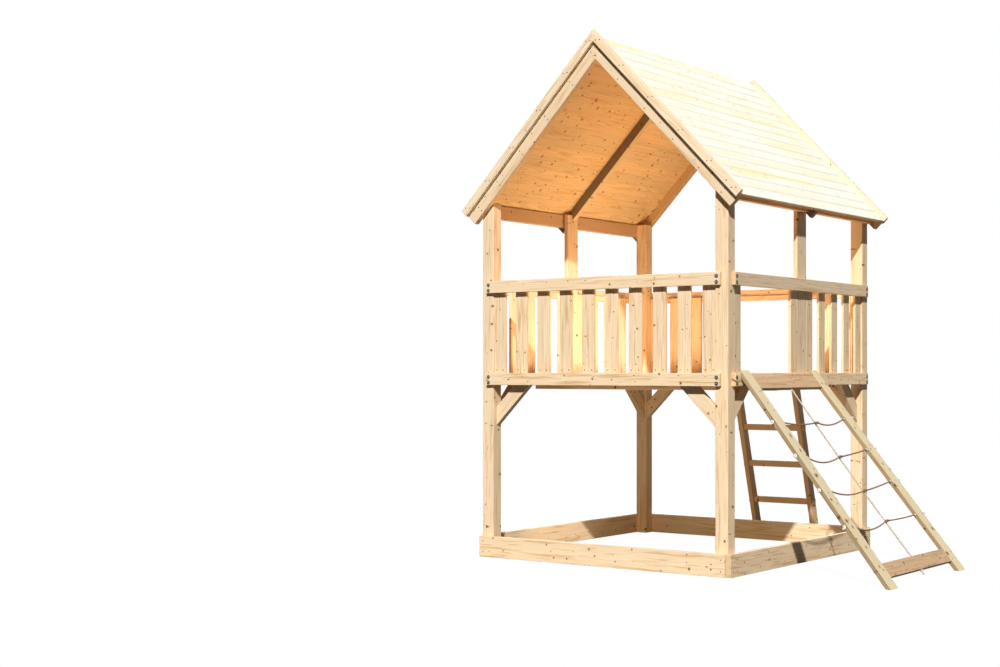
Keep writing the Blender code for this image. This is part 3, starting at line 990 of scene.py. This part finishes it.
@dataclass
class Deck:
    """The raised floor's boards, its joists and the rims round it."""

    boards: int = 20
    ease: float = 0.002
    joist_low: float = 1.144
    joist_thick: float = 0.045
    joist_places: tuple[float, float] = (0.309, 0.691)

    def build(self) -> None:
        """Make the floor, the joists and the rims."""
        self._floor()
        for number, share in enumerate(self.joist_places, start=1):
            y = DEPTH * share - self.joist_thick / 2
            low = (GAP, y, self.joist_low)
            high = (WIDTH - GAP, y + self.joist_thick, FLOOR_TOP - FLOOR_THICK - GAP)
            Workbench(f"joist_{number}", Timber.BOARD).box(low, high, Lie(EAST, NORTH)).done()
        for face in Face:
            Workbench(f"rim_{face.value}", Timber.BOARD).edge_board(face, RIM_LOW, RIM_TOP).done()

    def _floor(self) -> None:
        """Make the floor boards, the outer two notched round the posts."""
        bench = Workbench("floor", Timber.FLOOR, "boards")
        pitch = (WIDTH - 2 * GAP) / self.boards
        low = FLOOR_TOP - FLOOR_THICK
        near = POST + GAP
        far = WIDTH - near
        for number in range(self.boards):
            x0 = GAP + number * pitch
            x1 = x0 + pitch
            front = [(x0, GAP), (x1, GAP)]
            if number == 0:
                front = [(x0, near), (near, near), (near, GAP), (x1, GAP)]
            if number == self.boards - 1:
                front = [(x0, GAP), (far, GAP), (far, near), (x1, near)]
            plan = front + [(x, DEPTH - y) for x, y in reversed(front)]
            bench.prism([(x, y, low) for x, y in plan], UP * FLOOR_THICK, Lie(NORTH, UP), self.ease)
        bench.done()


WAYS_IN = {Face.BACK: (4, 5, 6), Face.RIGHT: (1, 2, 3)}


@dataclass
class GuardFences:
    """A rail, a packing strip and upright slats on every face."""

    slats: int = 10
    slat_wide: float = 0.0955
    slat_thick: float = 0.018
    slat_top: float = 1.841
    slat_ease: float = 0.0025
    packing: float = 0.011
    packing_short: float = 0.002
    packing_low: float = 0.001
    packing_ease: float = 0.001
    mid_wide: float = 0.135

    def build(self) -> None:
        """Make the four fences."""
        for face in Face:
            bench = Workbench(f"fence_{face.value}", Timber.SLAT).edge_board(face, RAIL_LOW, RAIL_TOP)
            self._add_slats(bench, face)
            self._add_packing(bench, face)
            bench.done()

    def starts(self, face: Face) -> list[float]:
        """Where each of one face's slats begins, with the ways in left open.

        Args:
            face: The fence's face.

        Returns:
            Their starts along the face.
        """
        bays = self._bays(face)
        count = self.slats // len(bays)
        found = []
        for low, high in bays:
            room = high - low - 2 * GAP - self.slat_wide
            found += [low + GAP + room * index / (count - 1) for index in range(count)]
        return [start for index, start in enumerate(found) if index not in WAYS_IN.get(face, ())]

    def _bays(self, face: Face) -> list[tuple[float, float]]:
        """The stretches between the posts of one face.

        Args:
            face: The fence's face.

        Returns:
            The start and stop of each.
        """
        first, last = POST, face.span - POST
        if face.broad:
            return [(first, last)]
        middle, half = face.span / 2, self.mid_wide / 2
        return [(first, middle - half), (middle + half, last)]

    def _add_slats(self, bench: Workbench, face: Face) -> None:
        """Stand one face's slats on the floor.

        Args:
            bench: The fence in work.
            face: Its face.
        """
        for start in self.starts(face):
            low = face.at(start, self.packing, FLOOR_TOP + GAP)
            high = face.at(start + self.slat_wide, self.packing + self.slat_thick, self.slat_top)
            bench.box(low, high, Lie(UP, face.lie.face), self.slat_ease)

    def _add_packing(self, bench: Workbench, face: Face) -> None:
        """Put the packing strips between one face's rail and its slats.

        Args:
            bench: The fence in work.
            face: Its face.
        """
        for start, stop in self._bays(face):
            low = face.at(start + self.packing_short, -GAP, RAIL_LOW + self.packing_low)
            high = face.at(stop - self.packing_short, self.packing, self.slat_top - self.packing_low)
            bench.box(low, high, face.lie, self.packing_ease)


@dataclass
class RoofWork:
    """Grooved boards on rafters and purlins, with barge boards on the ends."""

    boards: int = 16
    front_rafter: float = 0.083
    rafter: float = 0.064
    rafter_thick: float = 0.045
    barge_thick: float = 0.027
    barge_above: float = 0.028
    barge_wide: float = 0.056
    groove: float = 0.0028
    rebate: float = 0.007
    board_ease: float = 0.0012
    purlin_ease: float = 0.002

    def build(self) -> None:
        """Make the roof."""
        for side in Side:
            self._slope(side)
            self._rafters(side)
            self._barges(side)
            bench = Workbench(f"purlin_{side.word}", Timber.PURLIN)
            bench.copy_node(Lie(NORTH, EAST), self.purlin_ease).done()

    def _slope(self, side: Side) -> None:
        """Make one slope's boards.

        Args:
            side: The roof's side.
        """
        bench = Workbench(f"roof_{side.word}", Timber.ROOF, "boards")
        sweep = NORTH * (DEPTH + 2 * self.rafter_thick)
        out = ROOF.mirrored(ROOF.outward, side)
        for number in range(self.boards):
            outline = wall(self._section(side, number), -self.rafter_thick)
            # Each board's upper face is painted as lit
            bench.prism(outline, sweep, Lie(NORTH, out), self.board_ease, out)
        bench.done()

    def _section(self, side: Side, number: int) -> Outline:
        """One board's section, rebated where it meets its neighbours.

        Args:
            side: The slope's side.
            number: Which board, from the ridge down.

        Returns:
            Its corners.
        """
        pitch = ROOF.length / self.boards
        first, last = number * pitch, (number + 1) * pitch
        under, lap, half = -ROOF.thick, -self.rebate, self.groove / 2
        lower = [(last, 0.0), (last, under)]
        if number < self.boards - 1:
            lower = [(last - half, 0.0), (last - half, lap), (last, lap), (last, under)]
        if number == 0:
            top = [ROOF.cut(side, under), ROOF.cut(side, 0.0)]
            return top + [ROOF.point(side, *corner) for corner in lower]
        upper = [(first, under), (first, lap), (first + half, lap), (first + half, 0.0)]
        return [ROOF.point(side, *corner) for corner in upper + lower]

    def _outline(self, side: Side, above: float, below: float) -> Outline:
        """A member's shape: plumb at the ridge and square at the eave.

        Args:
            side: The roof's side.
            above: How high its upper edge lies over the roof boards' upper face.
            below: How high its lower edge lies over it, which is less than nothing under it.

        Returns:
            Its corners.
        """
        far = ROOF.length
        eave = [ROOF.point(side, far, above), ROOF.point(side, far, below)]
        return [ROOF.cut(side, above), *eave, ROOF.cut(side, below)]

    def _rafters(self, side: Side) -> None:
        """Make one side's front, middle and back rafters.

        Args:
            side: The roof's side.
        """
        thick = self.rafter_thick
        under = -ROOF.thick - GAP
        tall = self._outline(side, under, under - self.front_rafter)
        low = self._outline(side, under, under - self.rafter)
        lie = Lie(ROOF.mirrored(ROOF.along, side), NORTH)
        # The middle rafters wear painted shade, with painted light on their undersides
        down = -ROOF.mirrored(ROOF.outward, side)
        rows = (
            ("front", tall, -thick, -GAP, Timber.POST, None),
            ("middle", low, DEPTH / 2, DEPTH / 2 + thick, Timber.DARK_RAFTER, down),
            ("back", low, DEPTH + GAP, DEPTH + thick, Timber.RAFTER, None),
        )
        for word, outline, start, stop, kind, sunny in rows:
            bench = Workbench(f"rafter_{word}_{side.word}", kind)
            bench.prism(wall(outline, start), NORTH * (stop - start), lie, sunny=sunny).done()

    def _barges(self, side: Side) -> None:
        """Make one side's front and back barge boards.

        Args:
            side: The roof's side.
        """
        outline = self._outline(side, self.barge_above, self.barge_above - self.barge_wide)
        front = -self.rafter_thick - GAP - self.barge_thick
        back = DEPTH + self.rafter_thick + GAP
        lie = Lie(ROOF.mirrored(ROOF.along, side), NORTH)
        for word, y in (("front", front), ("back", back)):
            bench = Workbench(f"barge_{word}_{side.word}", Timber.BARGE)
            bench.prism(wall(outline, y), NORTH * self.barge_thick, lie).done()


@dataclass
class Ladder:
    """Two leaning rails with three rungs let through them."""

    left: float = 0.775
    right: float = 1.301
    lean: float = 0.306
    depth: float = 0.081
    top: float = 1.250
    rung_tops: tuple[float, float, float] = (0.297, 0.582, 0.864)
    rung_height: float = 0.045
    rung_depth: float = 0.045
    rung_out: float = 0.010

    def build(self) -> None:
        """Make the rails and the rungs."""
        up = Vector((0, -self.lean, 1)).normalized()
        for word in ("left", "right"):
            Workbench(f"ladder_rail_{word}", Timber.LADDER).copy_node(Lie(up, EAST)).done()
        foot = DEPTH + BOARD_THICK + GAP + self.lean * self.top
        for number, top in enumerate(self.rung_tops, start=1):
            middle = foot - self.lean * (top - self.rung_height / 2) + self.depth / 2
            low = (self.left - self.rung_out, middle - self.rung_depth / 2, top - self.rung_height)
            high = (self.right + self.rung_out, middle + self.rung_depth / 2, top)
            Workbench(f"ladder_rung_{number}", Timber.LADDER).box(low, high, Lie(EAST, UP)).done()


@dataclass
class RopeRamp:
    """Two boards and two bars that carry one long rope and four cross ropes.

    The long rope's heights are those of its start, the place where it leaves
    the upper bar, the place where it enters the lower bar, and its end.
    """

    slope: float = 0.7895
    middle: float = 0.654
    half_foot: float = 0.5975
    flare: float = 0.044
    rail_wide: float = 0.106
    thick: float = 0.027
    top: float = 1.276
    bar_ease: float = 0.002
    rope_radius: float = 0.0052
    tail: float = 0.022
    hidden: float = 0.004
    heights: tuple[float, ...] = (0.956, 0.756, 0.554, 0.344)
    ties: tuple[float, ...] = (0.936, 0.730, 0.511, 0.329)
    tie_half: float = 0.012
    winding_off: float = 0.012
    winding_turns: int = 3
    tie_turns: int = 2
    sags: tuple[tuple[float, float], ...] = ((0.013, 0.027), (0.040, 0.003), (0.028, 0.004), (0.038, 0.004))
    long_heights: tuple[float, ...] = (1.236, 1.149, 0.135, 0.028)
    long_sag: float = 0.012
    knot_height: float = 0.050
    rail_steps: int = 5
    hang_steps: int = 18
    long_steps: int = 44
    end_steps: int = 4

    def __post_init__(self) -> None:
        """Work out the foot and the way out of the ramp's upper face."""
        self.foot = WIDTH + BOARD_THICK + GAP + self.slope * self.top
        self.stretch = math.hypot(1.0, self.slope)
        self.normal = Vector((1.0, 0.0, self.slope)) / self.stretch

    def build(self) -> None:
        """Make the ramp's boards, bars and ropes."""
        up = Vector((-self.slope, 0, 1)).normalized()
        for word, turn in (("near", 1), ("far", -1)):
            lie = Lie(Vector((up.x, turn * self.flare * up.z, up.z)).normalized(), self.normal)
            # The rails' upper faces are painted as lit, and their dark sides as shade
            Workbench(f"ramp_rail_{word}", Timber.RAMP).copy_node(lie, sunny=self.normal).done()
        for word in ("low", "high"):
            bench = Workbench(f"ramp_bar_{word}", Timber.BAR)
            bench.copy_node(Lie(NORTH, self.normal), self.bar_ease).done()
        self._ropes()

    def edge(self, side: int, inside: float, z: float) -> float:
        """Y of a rail's edge, drawing nearer to the middle with height."""
        return self.middle + side * (self.half_foot - self.flare * z - inside)

    def hole(self, z: float, y: float) -> Vector:
        """A point at half the thickness of the ramp's boards."""
        return Vector((self.foot - self.slope * z - self.thick / 2 * self.stretch, y, z))

    def _ropes(self) -> None:
        """Make the long rope and the four cross ropes."""
        long_route = self._long_route()
        bench = RopeBench()
        bench.knot(level_spot(long_route, self.knot_height), self.normal)
        foot = bench.piece("rope_long_knot", COTTON)
        Rope("rope_long", long_route, self.rope_radius, LINE).build("taut", [foot])
        for number in range(len(self.heights)):
            route = self._cross_route(number, long_route)
            name = f"rope_cross_{number + 1}"
            Rope(name, route, self.rope_radius, HEMP).build("hanging", self._knots(name, route))

    def _knots(self, name: str, route: Sequence[Vector]) -> list[bpy.types.Object]:
        """The knots and windings on one cross rope.

        Args:
            name: The rope's name.
            route: The rope's points.

        Returns:
            The white pieces at the rails and the brown ones at the long rope.
        """
        white = RopeBench()
        brown = RopeBench()
        for first, second in ((route[0], route[1]), (route[-1], route[-2])):
            white.knot(first, (second - first).normalized())
        inner = self.rail_steps + 1
        for held, loose in ((route[inner - 1], route[inner]), (route[-inner], route[-inner - 1])):
            way = (loose - held).normalized()
            white.collar(held + way * self.winding_off, way, self.rope_radius, self.winding_turns)
        tied = self.rail_steps + self.hang_steps
        for spot in route[tied : tied + 2]:
            brown.collar(spot, NORTH, self.rope_radius, self.tie_turns)
        return [white.piece(f"{name}_knots", COTTON), brown.piece(f"{name}_ties", HEMP)]

    def _long_route(self) -> list[Vector]:
        """The points of the rope down the middle.

        Returns:
            The route from inside the upper bar to under the lower one.
        """
        start, head, foot, end = (self.hole(z, self.middle) for z in self.long_heights)
        hanging = span(head, foot, self.long_sag, self.long_steps)
        return [start, head, *hanging, *span(foot, end, 0.0, self.end_steps)]

    def _cross_route(self, number: int, long_route: Sequence[Vector]) -> list[Vector]:
        """The points of one cross rope, over the long rope.

        Args:
            number: Which one, from the top down.
            long_route: The long rope's points.

        Returns:
            The route from outside the near rail to outside the far one.
        """
        z = self.heights[number]
        near_sag, far_sag = self.sags[number]
        inside = self.rail_wide - self.hidden
        near_in, far_in = (self.hole(z, self.edge(side, inside, z)) for side in (-1, 1))
        near_out, far_out = (self.hole(z, self.edge(side, -self.tail, z)) for side in (-1, 1))
        tie = level_spot(long_route, self.ties[number]) + self.normal * (2 * self.rope_radius + 2 * GAP)
        tie_near, tie_far = (tie + NORTH * off for off in (-self.tie_half, self.tie_half))
        held, hung = self.rail_steps, self.hang_steps
        route = [near_out, *span(near_out, near_in, 0.0, held), *span(near_in, tie_near, near_sag, hung)]
        route += [tie_far, *span(tie_far, far_in, far_sag, hung)]
        return [*route, *span(far_in, far_out, 0.0, held)]


def level_spot(route: Sequence[Vector], z: float) -> Vector:
    """The point of a route that lies nearest to a height."""
    return min(route, key=lambda spot: abs(spot.z - z))


def span(start: Vector, end: Vector, sag: float, steps: int) -> list[Vector]:
    """Points of a hanging stretch between two held ends, the first left out."""
    shares = [index / steps for index in range(1, steps + 1)]
    return [start.lerp(end, share) - UP * (4 * sag * share * (1 - share)) for share in shares]


def turned_to(way: Vector) -> Matrix:
    """The turn that brings the upright axis round to a way."""
    return UP.rotation_difference(way).to_matrix()


class RopeBench:
    """Lays twisted rope along routes.

    Round a strand, each side has its share of the radius and its painted
    shade, darkest in the furrows. Thin line is what windings are made of, and a
    knot's size is a third of its radius.
    """

    SHAPE = (1.0, 0.94, 0.80, 0.94)
    # Painted shade for each side round a strand, darkest in the furrow
    FURROWS = (0.0, 0.25, 1.0, 0.25)
    THIN = 0.0024
    THIN_SIDES = 8
    THIN_PITCH = 0.012
    THIN_APART = 2.1
    TURN_STEPS = 10
    KNOT_THIRD = 0.0040
    KNOT_PITCH = 0.02
    KNOT_STEPS = 36

    def __init__(self) -> None:
        """Start an empty piece."""
        self.work = bmesh.new()
        self.lay = self.work.verts.layers.float_vector.new("lay")
        self.furrow = self.work.verts.layers.float.new("furrow")

    def tube(self, path: Sequence[Vector], radius: float, sides: int, pitch: float = 0.034) -> None:
        """Lay one length of rope.

        Args:
            path: The points along its middle.
            radius: Its radius.
            sides: How many sides it has, four to each strand.
            pitch: How far a strand runs in one turn.
        """
        frames = path_frames(path)
        ring = bmesh.ops.create_circle(self.work, cap_ends=True, segments=sides, radius=radius)["verts"]
        for index, vert in enumerate(ring):
            angle = 2 * math.pi * index / sides
            vert.co *= self.SHAPE[index % 4]
            vert[self.lay] = Vector((0.0, math.cos(angle), math.sin(angle)))
            vert[self.furrow] = self.FURROWS[index % 4]
        bmesh.ops.transform(self.work, matrix=frames[0], verts=ring)
        edges = list({edge for vert in ring for edge in vert.link_edges})
        first = len(self.work.faces)
        run = 0.0
        for before, after in zip(frames, frames[1:]):
            gone = (after.translation - before.translation).length
            run += gone
            twist = Matrix.Rotation(2 * math.pi * gone / pitch, 4, "Z")
            made = bmesh.ops.extrude_edge_only(self.work, edges=edges)["geom"]
            verts = [item for item in made if isinstance(item, bmesh.types.BMVert)]
            edges = [item for item in made if isinstance(item, bmesh.types.BMEdge)]
            bmesh.ops.transform(self.work, matrix=after @ twist @ before.inverted(), verts=verts)
            for vert in verts:
                vert[self.lay].x = run
        bmesh.ops.contextual_create(self.work, geom=edges)
        self.work.faces.ensure_lookup_table()
        for face in self.work.faces[first:]:
            face.smooth = True

    def collar(self, middle: Vector, axis: Vector, inner: float, turns: int) -> None:
        """Wind thin line round a rope.

        Args:
            middle: The middle of the winding.
            axis: The rope's way there.
            inner: The rope's radius.
            turns: How many times the line goes round.
        """
        steps = self.TURN_STEPS * turns
        turn = turned_to(axis)
        out = inner + self.THIN
        route = []
        for index in range(steps + 1):
            angle = 2 * math.pi * index / self.TURN_STEPS
            lift = (index / steps - 0.5) * turns * self.THIN * self.THIN_APART
            route.append(middle + turn @ Vector((out * math.cos(angle), out * math.sin(angle), lift)))
        self.tube(route, self.THIN, self.THIN_SIDES, self.THIN_PITCH)

    def knot(self, middle: Vector, axis: Vector) -> None:
        """Tie an overhand knot, drawn tight, that looks along an axis.

        Args:
            middle: The knot's middle.
            axis: The way that it looks.
        """
        turn = turned_to(axis)
        route = []
        for index in range(self.KNOT_STEPS + 1):
            angle = 2 * math.pi * index / self.KNOT_STEPS
            x = math.sin(angle) + 2 * math.sin(2 * angle)
            y = math.cos(angle) - 2 * math.cos(2 * angle)
            route.append(middle + turn @ (Vector((x, y, -math.sin(3 * angle))) * self.KNOT_THIRD))
        self.tube(route, self.KNOT_THIRD, self.THIN_SIDES, self.KNOT_PITCH)

    def piece(self, name: str, finish: RopeFinish) -> bpy.types.Object:
        """Turn the lengths into one piece of the finished object.

        Args:
            name: The piece's name.
            finish: Its rope.

        Returns:
            The piece.
        """
        bmesh.ops.recalc_face_normals(self.work, faces=self.work.faces)
        obj = settle(name, self.work, finish)
        return obj


def path_frames(path: Sequence[Vector]) -> list[Matrix]:
    """A place and a turn for every point of a path, without any spin of its own.

    Args:
        path: The points.

    Returns:
        One matrix for each point.
    """
    frames = []
    last = UP
    turn = Matrix.Identity(3).to_quaternion()
    for index, point in enumerate(path):
        before = path[max(index - 1, 0)]
        after = path[min(index + 1, len(path) - 1)]
        way = (after - before).normalized()
        turn = last.rotation_difference(way) @ turn
        last = way
        frames.append(Matrix.Translation(point) @ turn.to_matrix().to_4x4())
    return frames


@dataclass
class Rope:
    """A three-strand rope laid along a route."""

    name: str
    route: list[Vector]
    radius: float
    finish: RopeFinish
    sides: int = 12
    step: float = 0.005

    def build(self, lay: str, knots: list[bpy.types.Object]) -> None:
        """Args:
            knots: The separate pieces on it, which are not used.
        """
        path = self._resample()
        bench = RopeBench()
        bench.tube(path, self.radius, self.sides)
        obj = bench.piece(f"{self.name}_strands", self.finish)
        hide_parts(self.name)
        placed = [point - CENTRE for point in path]
        sum((b - a).length for a, b in zip(placed, placed[1:]))
        2 * self.radius

    def _resample(self) -> list[Vector]:
        """The route in short steps.

        Returns:
            The route's own points and those between them.
        """
        points = [self.route[0]]
        for start, end in zip(self.route, self.route[1:]):
            count = max(1, round((end - start).length / self.step))
            points += [start.lerp(end, index / count) for index in range(1, count + 1)]
        return points


class HeadBench:
    """Sets round bolt and screw heads on faces.

    The dome's steps are insets, each a width and a rise as shares of the
    flange's radius. Where the head rises past another share, it carries a
    painted highlight.
    """

    SUNK = 0.0005
    FLANGE = 0.10
    DOME = ((0.24, 0.03), (0.14, 0.16), (0.26, 0.08))
    POLISHED = 0.33

    def __init__(self, radius: float, sides: int) -> None:
        """Start an empty piece.

        Args:
            radius: The radius of every flange.
            sides: How many sides each has.
        """
        self.radius = radius
        self.sides = sides
        self.work = bmesh.new()
        self.polish = self.work.verts.layers.float.new("polish")

    def head(self, spot: Vector, out: Vector) -> None:
        """Add one domed head with its flange.

        Args:
            spot: The middle of its seat.
            out: The way that it looks.
        """
        work, radius = self.work, self.radius
        known = set(work.verts)
        seat = Matrix.Translation(spot - out * self.SUNK) @ turned_to(out).to_4x4()
        sides = self.sides
        circle = bmesh.ops.create_circle(work, cap_ends=True, segments=sides, radius=radius, matrix=seat)
        face = next(iter(circle["verts"][0].link_faces))
        raised = bmesh.ops.extrude_face_region(work, geom=[face])["geom"]
        rim = [item for item in raised if isinstance(item, bmesh.types.BMVert)]
        top = [item for item in raised if isinstance(item, bmesh.types.BMFace)]
        bmesh.ops.translate(work, verts=rim, vec=out * (self.SUNK + radius * self.FLANGE))
        fresh = {face for vert in set(work.verts) - known for face in vert.link_faces}
        bmesh.ops.recalc_face_normals(work, faces=list(fresh))
        for wide, tall in self.DOME:
            bmesh.ops.inset_individual(
                work, faces=top, thickness=wide * radius, depth=tall * radius, use_even_offset=True
            )
        for vert in set(work.verts) - known:
            # Painted highlight on the dome's top
            vert[self.polish] = float((vert.co - spot).dot(out) > radius * self.POLISHED)

    def on_face(self, face: Face, run: float, inside: float, z: float) -> None:
        """Add one head on an upright face, or on a board outside or inside it."""
        self.head(face.at(run, inside, z), face.out)

    def piece(self, name: str, finish: SteelFinish) -> None:
        """Turn the heads into one piece of the finished object.

        Args:
            name: The piece's name.
            finish: Its steel.
        """
        for face in self.work.faces:
            face.smooth = True
        settle(name, self.work, finish)


@dataclass
class Fixings:
    """Domed bolts in the rails and rims, and the screws of the thinner boards."""

    bolt: float = 0.0125
    bolt_sides: int = 16
    bolt_heights: tuple[float, float] = (0.0175, 0.0550)
    from_corner: float = 0.067
    screw: float = 0.0042
    screw_sides: int = 8
    slat_places: tuple[float, float] = (0.020, 0.0755)
    slat_height: float = 0.020
    slope_places: tuple[float, ...] = (0.05, 0.31, 0.62, 0.94, 1.23, 1.475)
    barge_rows: tuple[float, float] = (-0.010, 0.012)
    rafter_rows: tuple[float, float] = (-0.085, -0.050)
    rafter_start: float = 0.05
    rafter_pitch: float = 0.93
    pit_from_end: float = 0.030
    pit_from_edge: float = 0.035

    def build(self) -> None:
        """Make every bolt and screw."""
        bolts = HeadBench(self.bolt, self.bolt_sides)
        for face in Face:
            for low in (RAIL_LOW, RIM_LOW):
                self._bolts(bolts, face, low)
        bolts.piece("rail_bolts", BOLT_STEEL)
        screws = HeadBench(self.screw, self.screw_sides)
        for face in Face:
            self._slat_screws(screws, face)
            self._sandpit_screws(screws, face)
        for side in Side:
            self._slope_screws(screws, side)
        screws.piece("board_screws", SCREW_STEEL)

    def _bolts(self, bench: HeadBench, face: Face, low: float) -> None:
        """Set two bolts at each end of the board that starts at one height.

        Args:
            bench: The bolts in work.
            face: The board's face.
            low: The board's lower edge.
        """
        for above in self.bolt_heights:
            for run in (self.from_corner, face.span - self.from_corner):
                bench.on_face(face, run, -BOARD_THICK, low + above)

    def _slat_screws(self, bench: HeadBench, face: Face) -> None:
        """Set two screws low in the outer face of every slat.

        Args:
            bench: The screws in work.
            face: The fence's face.
        """
        fences = GuardFences()
        for start in fences.starts(face):
            for across in self.slat_places:
                bench.on_face(face, start + across, fences.packing, RIM_TOP + self.slat_height)

    def _sandpit_screws(self, bench: HeadBench, face: Face) -> None:
        """Set two screws at each end of one of the sandpit's boards.

        Args:
            bench: The screws in work.
            face: The board's face.
        """
        pit = Sandpit()
        from_end = self.pit_from_end if face.broad else POST / 2
        for z in (self.pit_from_edge, pit.height - self.pit_from_edge):
            for run in (from_end, face.span - from_end):
                bench.on_face(face, run, -pit.thick, z)

    def _slope_screws(self, bench: HeadBench, side: Side) -> None:
        """Set pairs of screws in one side's front rafter and barge boards.

        Args:
            bench: The screws in work.
            side: The roof's side.
        """
        roof = RoofWork()
        outside = -roof.rafter_thick - GAP - roof.barge_thick
        for along in self.slope_places:
            for above in self.barge_rows:
                x, z = ROOF.point(side, along + above, above)
                for face in (Face.FRONT, Face.BACK):
                    bench.on_face(face, x, outside, z)
            for above in self.rafter_rows:
                x, z = ROOF.point(side, along * self.rafter_pitch + self.rafter_start, above)
                bench.on_face(Face.FRONT, x, -roof.rafter_thick, z)


@dataclass(frozen=True)
class Sun:
    """A far lamp: its strength, how wide it looks in degrees, and the way to it."""

    name: str
    power: float
    spread: float
    way: Point

    def light(self) -> None:
        """Add the lamp."""
        data = bpy.data.lights.new(self.name, "SUN")
        data.angle = math.radians(self.spread)
        hang(data, self.power).rotation_euler = Vector(self.way).to_track_quat("Z", "Y").to_euler()


@dataclass(frozen=True)
class Glow:
    """A wide warm lamp for the light that wood and ground throw back.

    Its place is in tower coordinates, and its tilt turns it from looking down,
    about the X axis.
    """

    name: str
    power: float
    size: tuple[float, float]
    place: Point
    tilt: float
    colour: Colour = (1.0, 0.74, 0.47)

    def light(self) -> None:
        """Add the lamp."""
        data = bpy.data.lights.new(self.name, "AREA")
        data.shape = "RECTANGLE"
        data.size, data.size_y = self.size
        data.color = self.colour
        lamp = hang(data, self.power)
        lamp.location = Vector(self.place) - CENTRE
        lamp.rotation_euler = (self.tilt, 0.0, 0.0)
        lamp.visible_camera = False


def hang(data: bpy.types.Light, power: float) -> bpy.types.Object:
    """Set a lamp's strength and put it in the scene.

    Args:
        data: The lamp's data.
        power: Its strength.

    Returns:
        The lamp's object.
    """
    data.energy = power
    lamp = bpy.data.objects.new(data.name, data)
    bpy.context.scene.collection.objects.link(lamp)
    return lamp


@dataclass
class Studio:
    """The camera, the light and the floor."""

    place: Point = (5.17408, -9.87733, 1.2645)
    turn: float = 36.707
    lens: float = 56.71
    shift: float = 0.0386
    sensor: float = 36.0
    sight: float = 200.0
    lamps: tuple[Sun | Glow, ...] = (
        Sun("key", 4.6, 1.2, (0.392, -0.708, 0.588)),
        Sun("back_light", 1.3, 40.0, (-0.55, 0.70, 0.45)),
        Glow("deck_glow", 23.0, (1.5, 1.6), (0.88, 1.05, FLOOR_TOP + 0.03), math.pi),
        Glow("yard_glow", 9.0, (1.5, 0.6), (HALF, 0.40, 0.50), math.pi / 2),
    )
    fill: float = 0.05
    floor_radius: float = 3.4
    floor_sides: int = 64
    floor_low: float = 0.0006
    fade: tuple[float, float] = (2.2, 3.3)
    floor_glow: float = 1.22
    floor_grey: Colour = (0.165, 0.16, 0.155)
    shadow_share: float = 0.20

    def build(self) -> None:
        """Set up everything that isn't part of the tower."""
        scene = bpy.context.scene
        scene.view_settings.view_transform = "Standard"
        self._camera(scene)
        for lamp in self.lamps:
            lamp.light()
        self._world(scene)
        self._floor(scene)

    def _camera(self, scene: bpy.types.Scene) -> None:
        """Stand the camera where the photograph was taken from.

        Args:
            scene: The scene in use.
        """
        data = bpy.data.cameras.new("view")
        data.lens = self.lens
        data.sensor_width = self.sensor
        data.shift_y = self.shift
        data.clip_end = self.sight
        camera = bpy.data.objects.new("view", data)
        camera.location = self.place
        camera.rotation_euler = (math.pi / 2, 0.0, math.radians(self.turn))
        scene.collection.objects.link(camera)
        scene.camera = camera

    def _world(self, scene: bpy.types.Scene) -> None:
        """Light the rest evenly, and show white behind the tower.

        Args:
            scene: The scene in use.
        """
        scene.world = bpy.data.worlds.new("studio")
        sheet = NodeSheet(scene.world)
        path = sheet.node("ShaderNodeLightPath")
        glossy = path.math("MAXIMUM", path.twin("Is Glossy Ray"))
        clear = glossy.math("MAXIMUM", path.twin("Is Transmission Ray"))
        back = sheet.nodes["Background"]
        back.inputs["Color"].default_value = (1.0, 1.0, 1.0, 1.0)
        sheet.feed(back.inputs["Strength"], self.fill + clear * (1.0 - self.fill))

    def _floor(self, scene: bpy.types.Scene) -> None:
        """Lay a pale floor that shows white and keeps a faint shadow.

        Args:
            scene: The scene in use.
        """
        work = bmesh.new()
        bmesh.ops.create_circle(work, cap_ends=True, segments=self.floor_sides, radius=self.floor_radius)
        bmesh.ops.translate(work, verts=work.verts, vec=UP * -self.floor_low)
        mesh = bpy.data.meshes.new("floor_sheet")
        work.to_mesh(mesh)
        work.free()
        mesh.materials.append(self._floor_material())
        floor = bpy.data.objects.new("studio_floor", mesh)
        scene.collection.objects.link(floor)

    def _floor_material(self) -> bpy.types.Material:
        """Mix white light and grey matte, all white towards the rim.

        Returns:
            The floor's material.
        """
        sheet = NodeSheet(bpy.data.materials.new("studio_floor"))
        seen = sheet.node("ShaderNodeLightPath")
        place = sheet.node("ShaderNodeTexCoord").twin("Object")
        edge = sheet.node("ShaderNodeVectorMath", {"operation": "LENGTH"}, {0: place}).step(*self.fade)
        white_share = seen * (1.0 - self.shadow_share + self.shadow_share * edge)
        lit = {"Color": (1.0, 1.0, 1.0), "Strength": self.floor_glow}
        white = sheet.node("ShaderNodeEmission", None, lit)
        matte = sheet.node("ShaderNodeBsdfDiffuse", None, {"Color": self.floor_grey})
        mixed = sheet.node("ShaderNodeMixShader", None, {0: white_share, 1: matte, 2: white})
        output = next(node for node in sheet.nodes if node.type == "OUTPUT_MATERIAL")
        sheet.links.new(mixed.socket, output.inputs["Surface"])
        return sheet.owner


def main() -> None:
    """Build the studio and every sub-assembly in order."""
    logging.basicConfig(level=logging.INFO, format="%(name)s: %(message)s")
    Studio().build()
    RopeRamp().build()
    PostFrame().build()
    Sandpit().build()
    Deck().build()
    GuardFences().build()
    RoofWork().build()
    Ladder().build()
    Fixings().build()


if __name__ == "__main__":
    main()
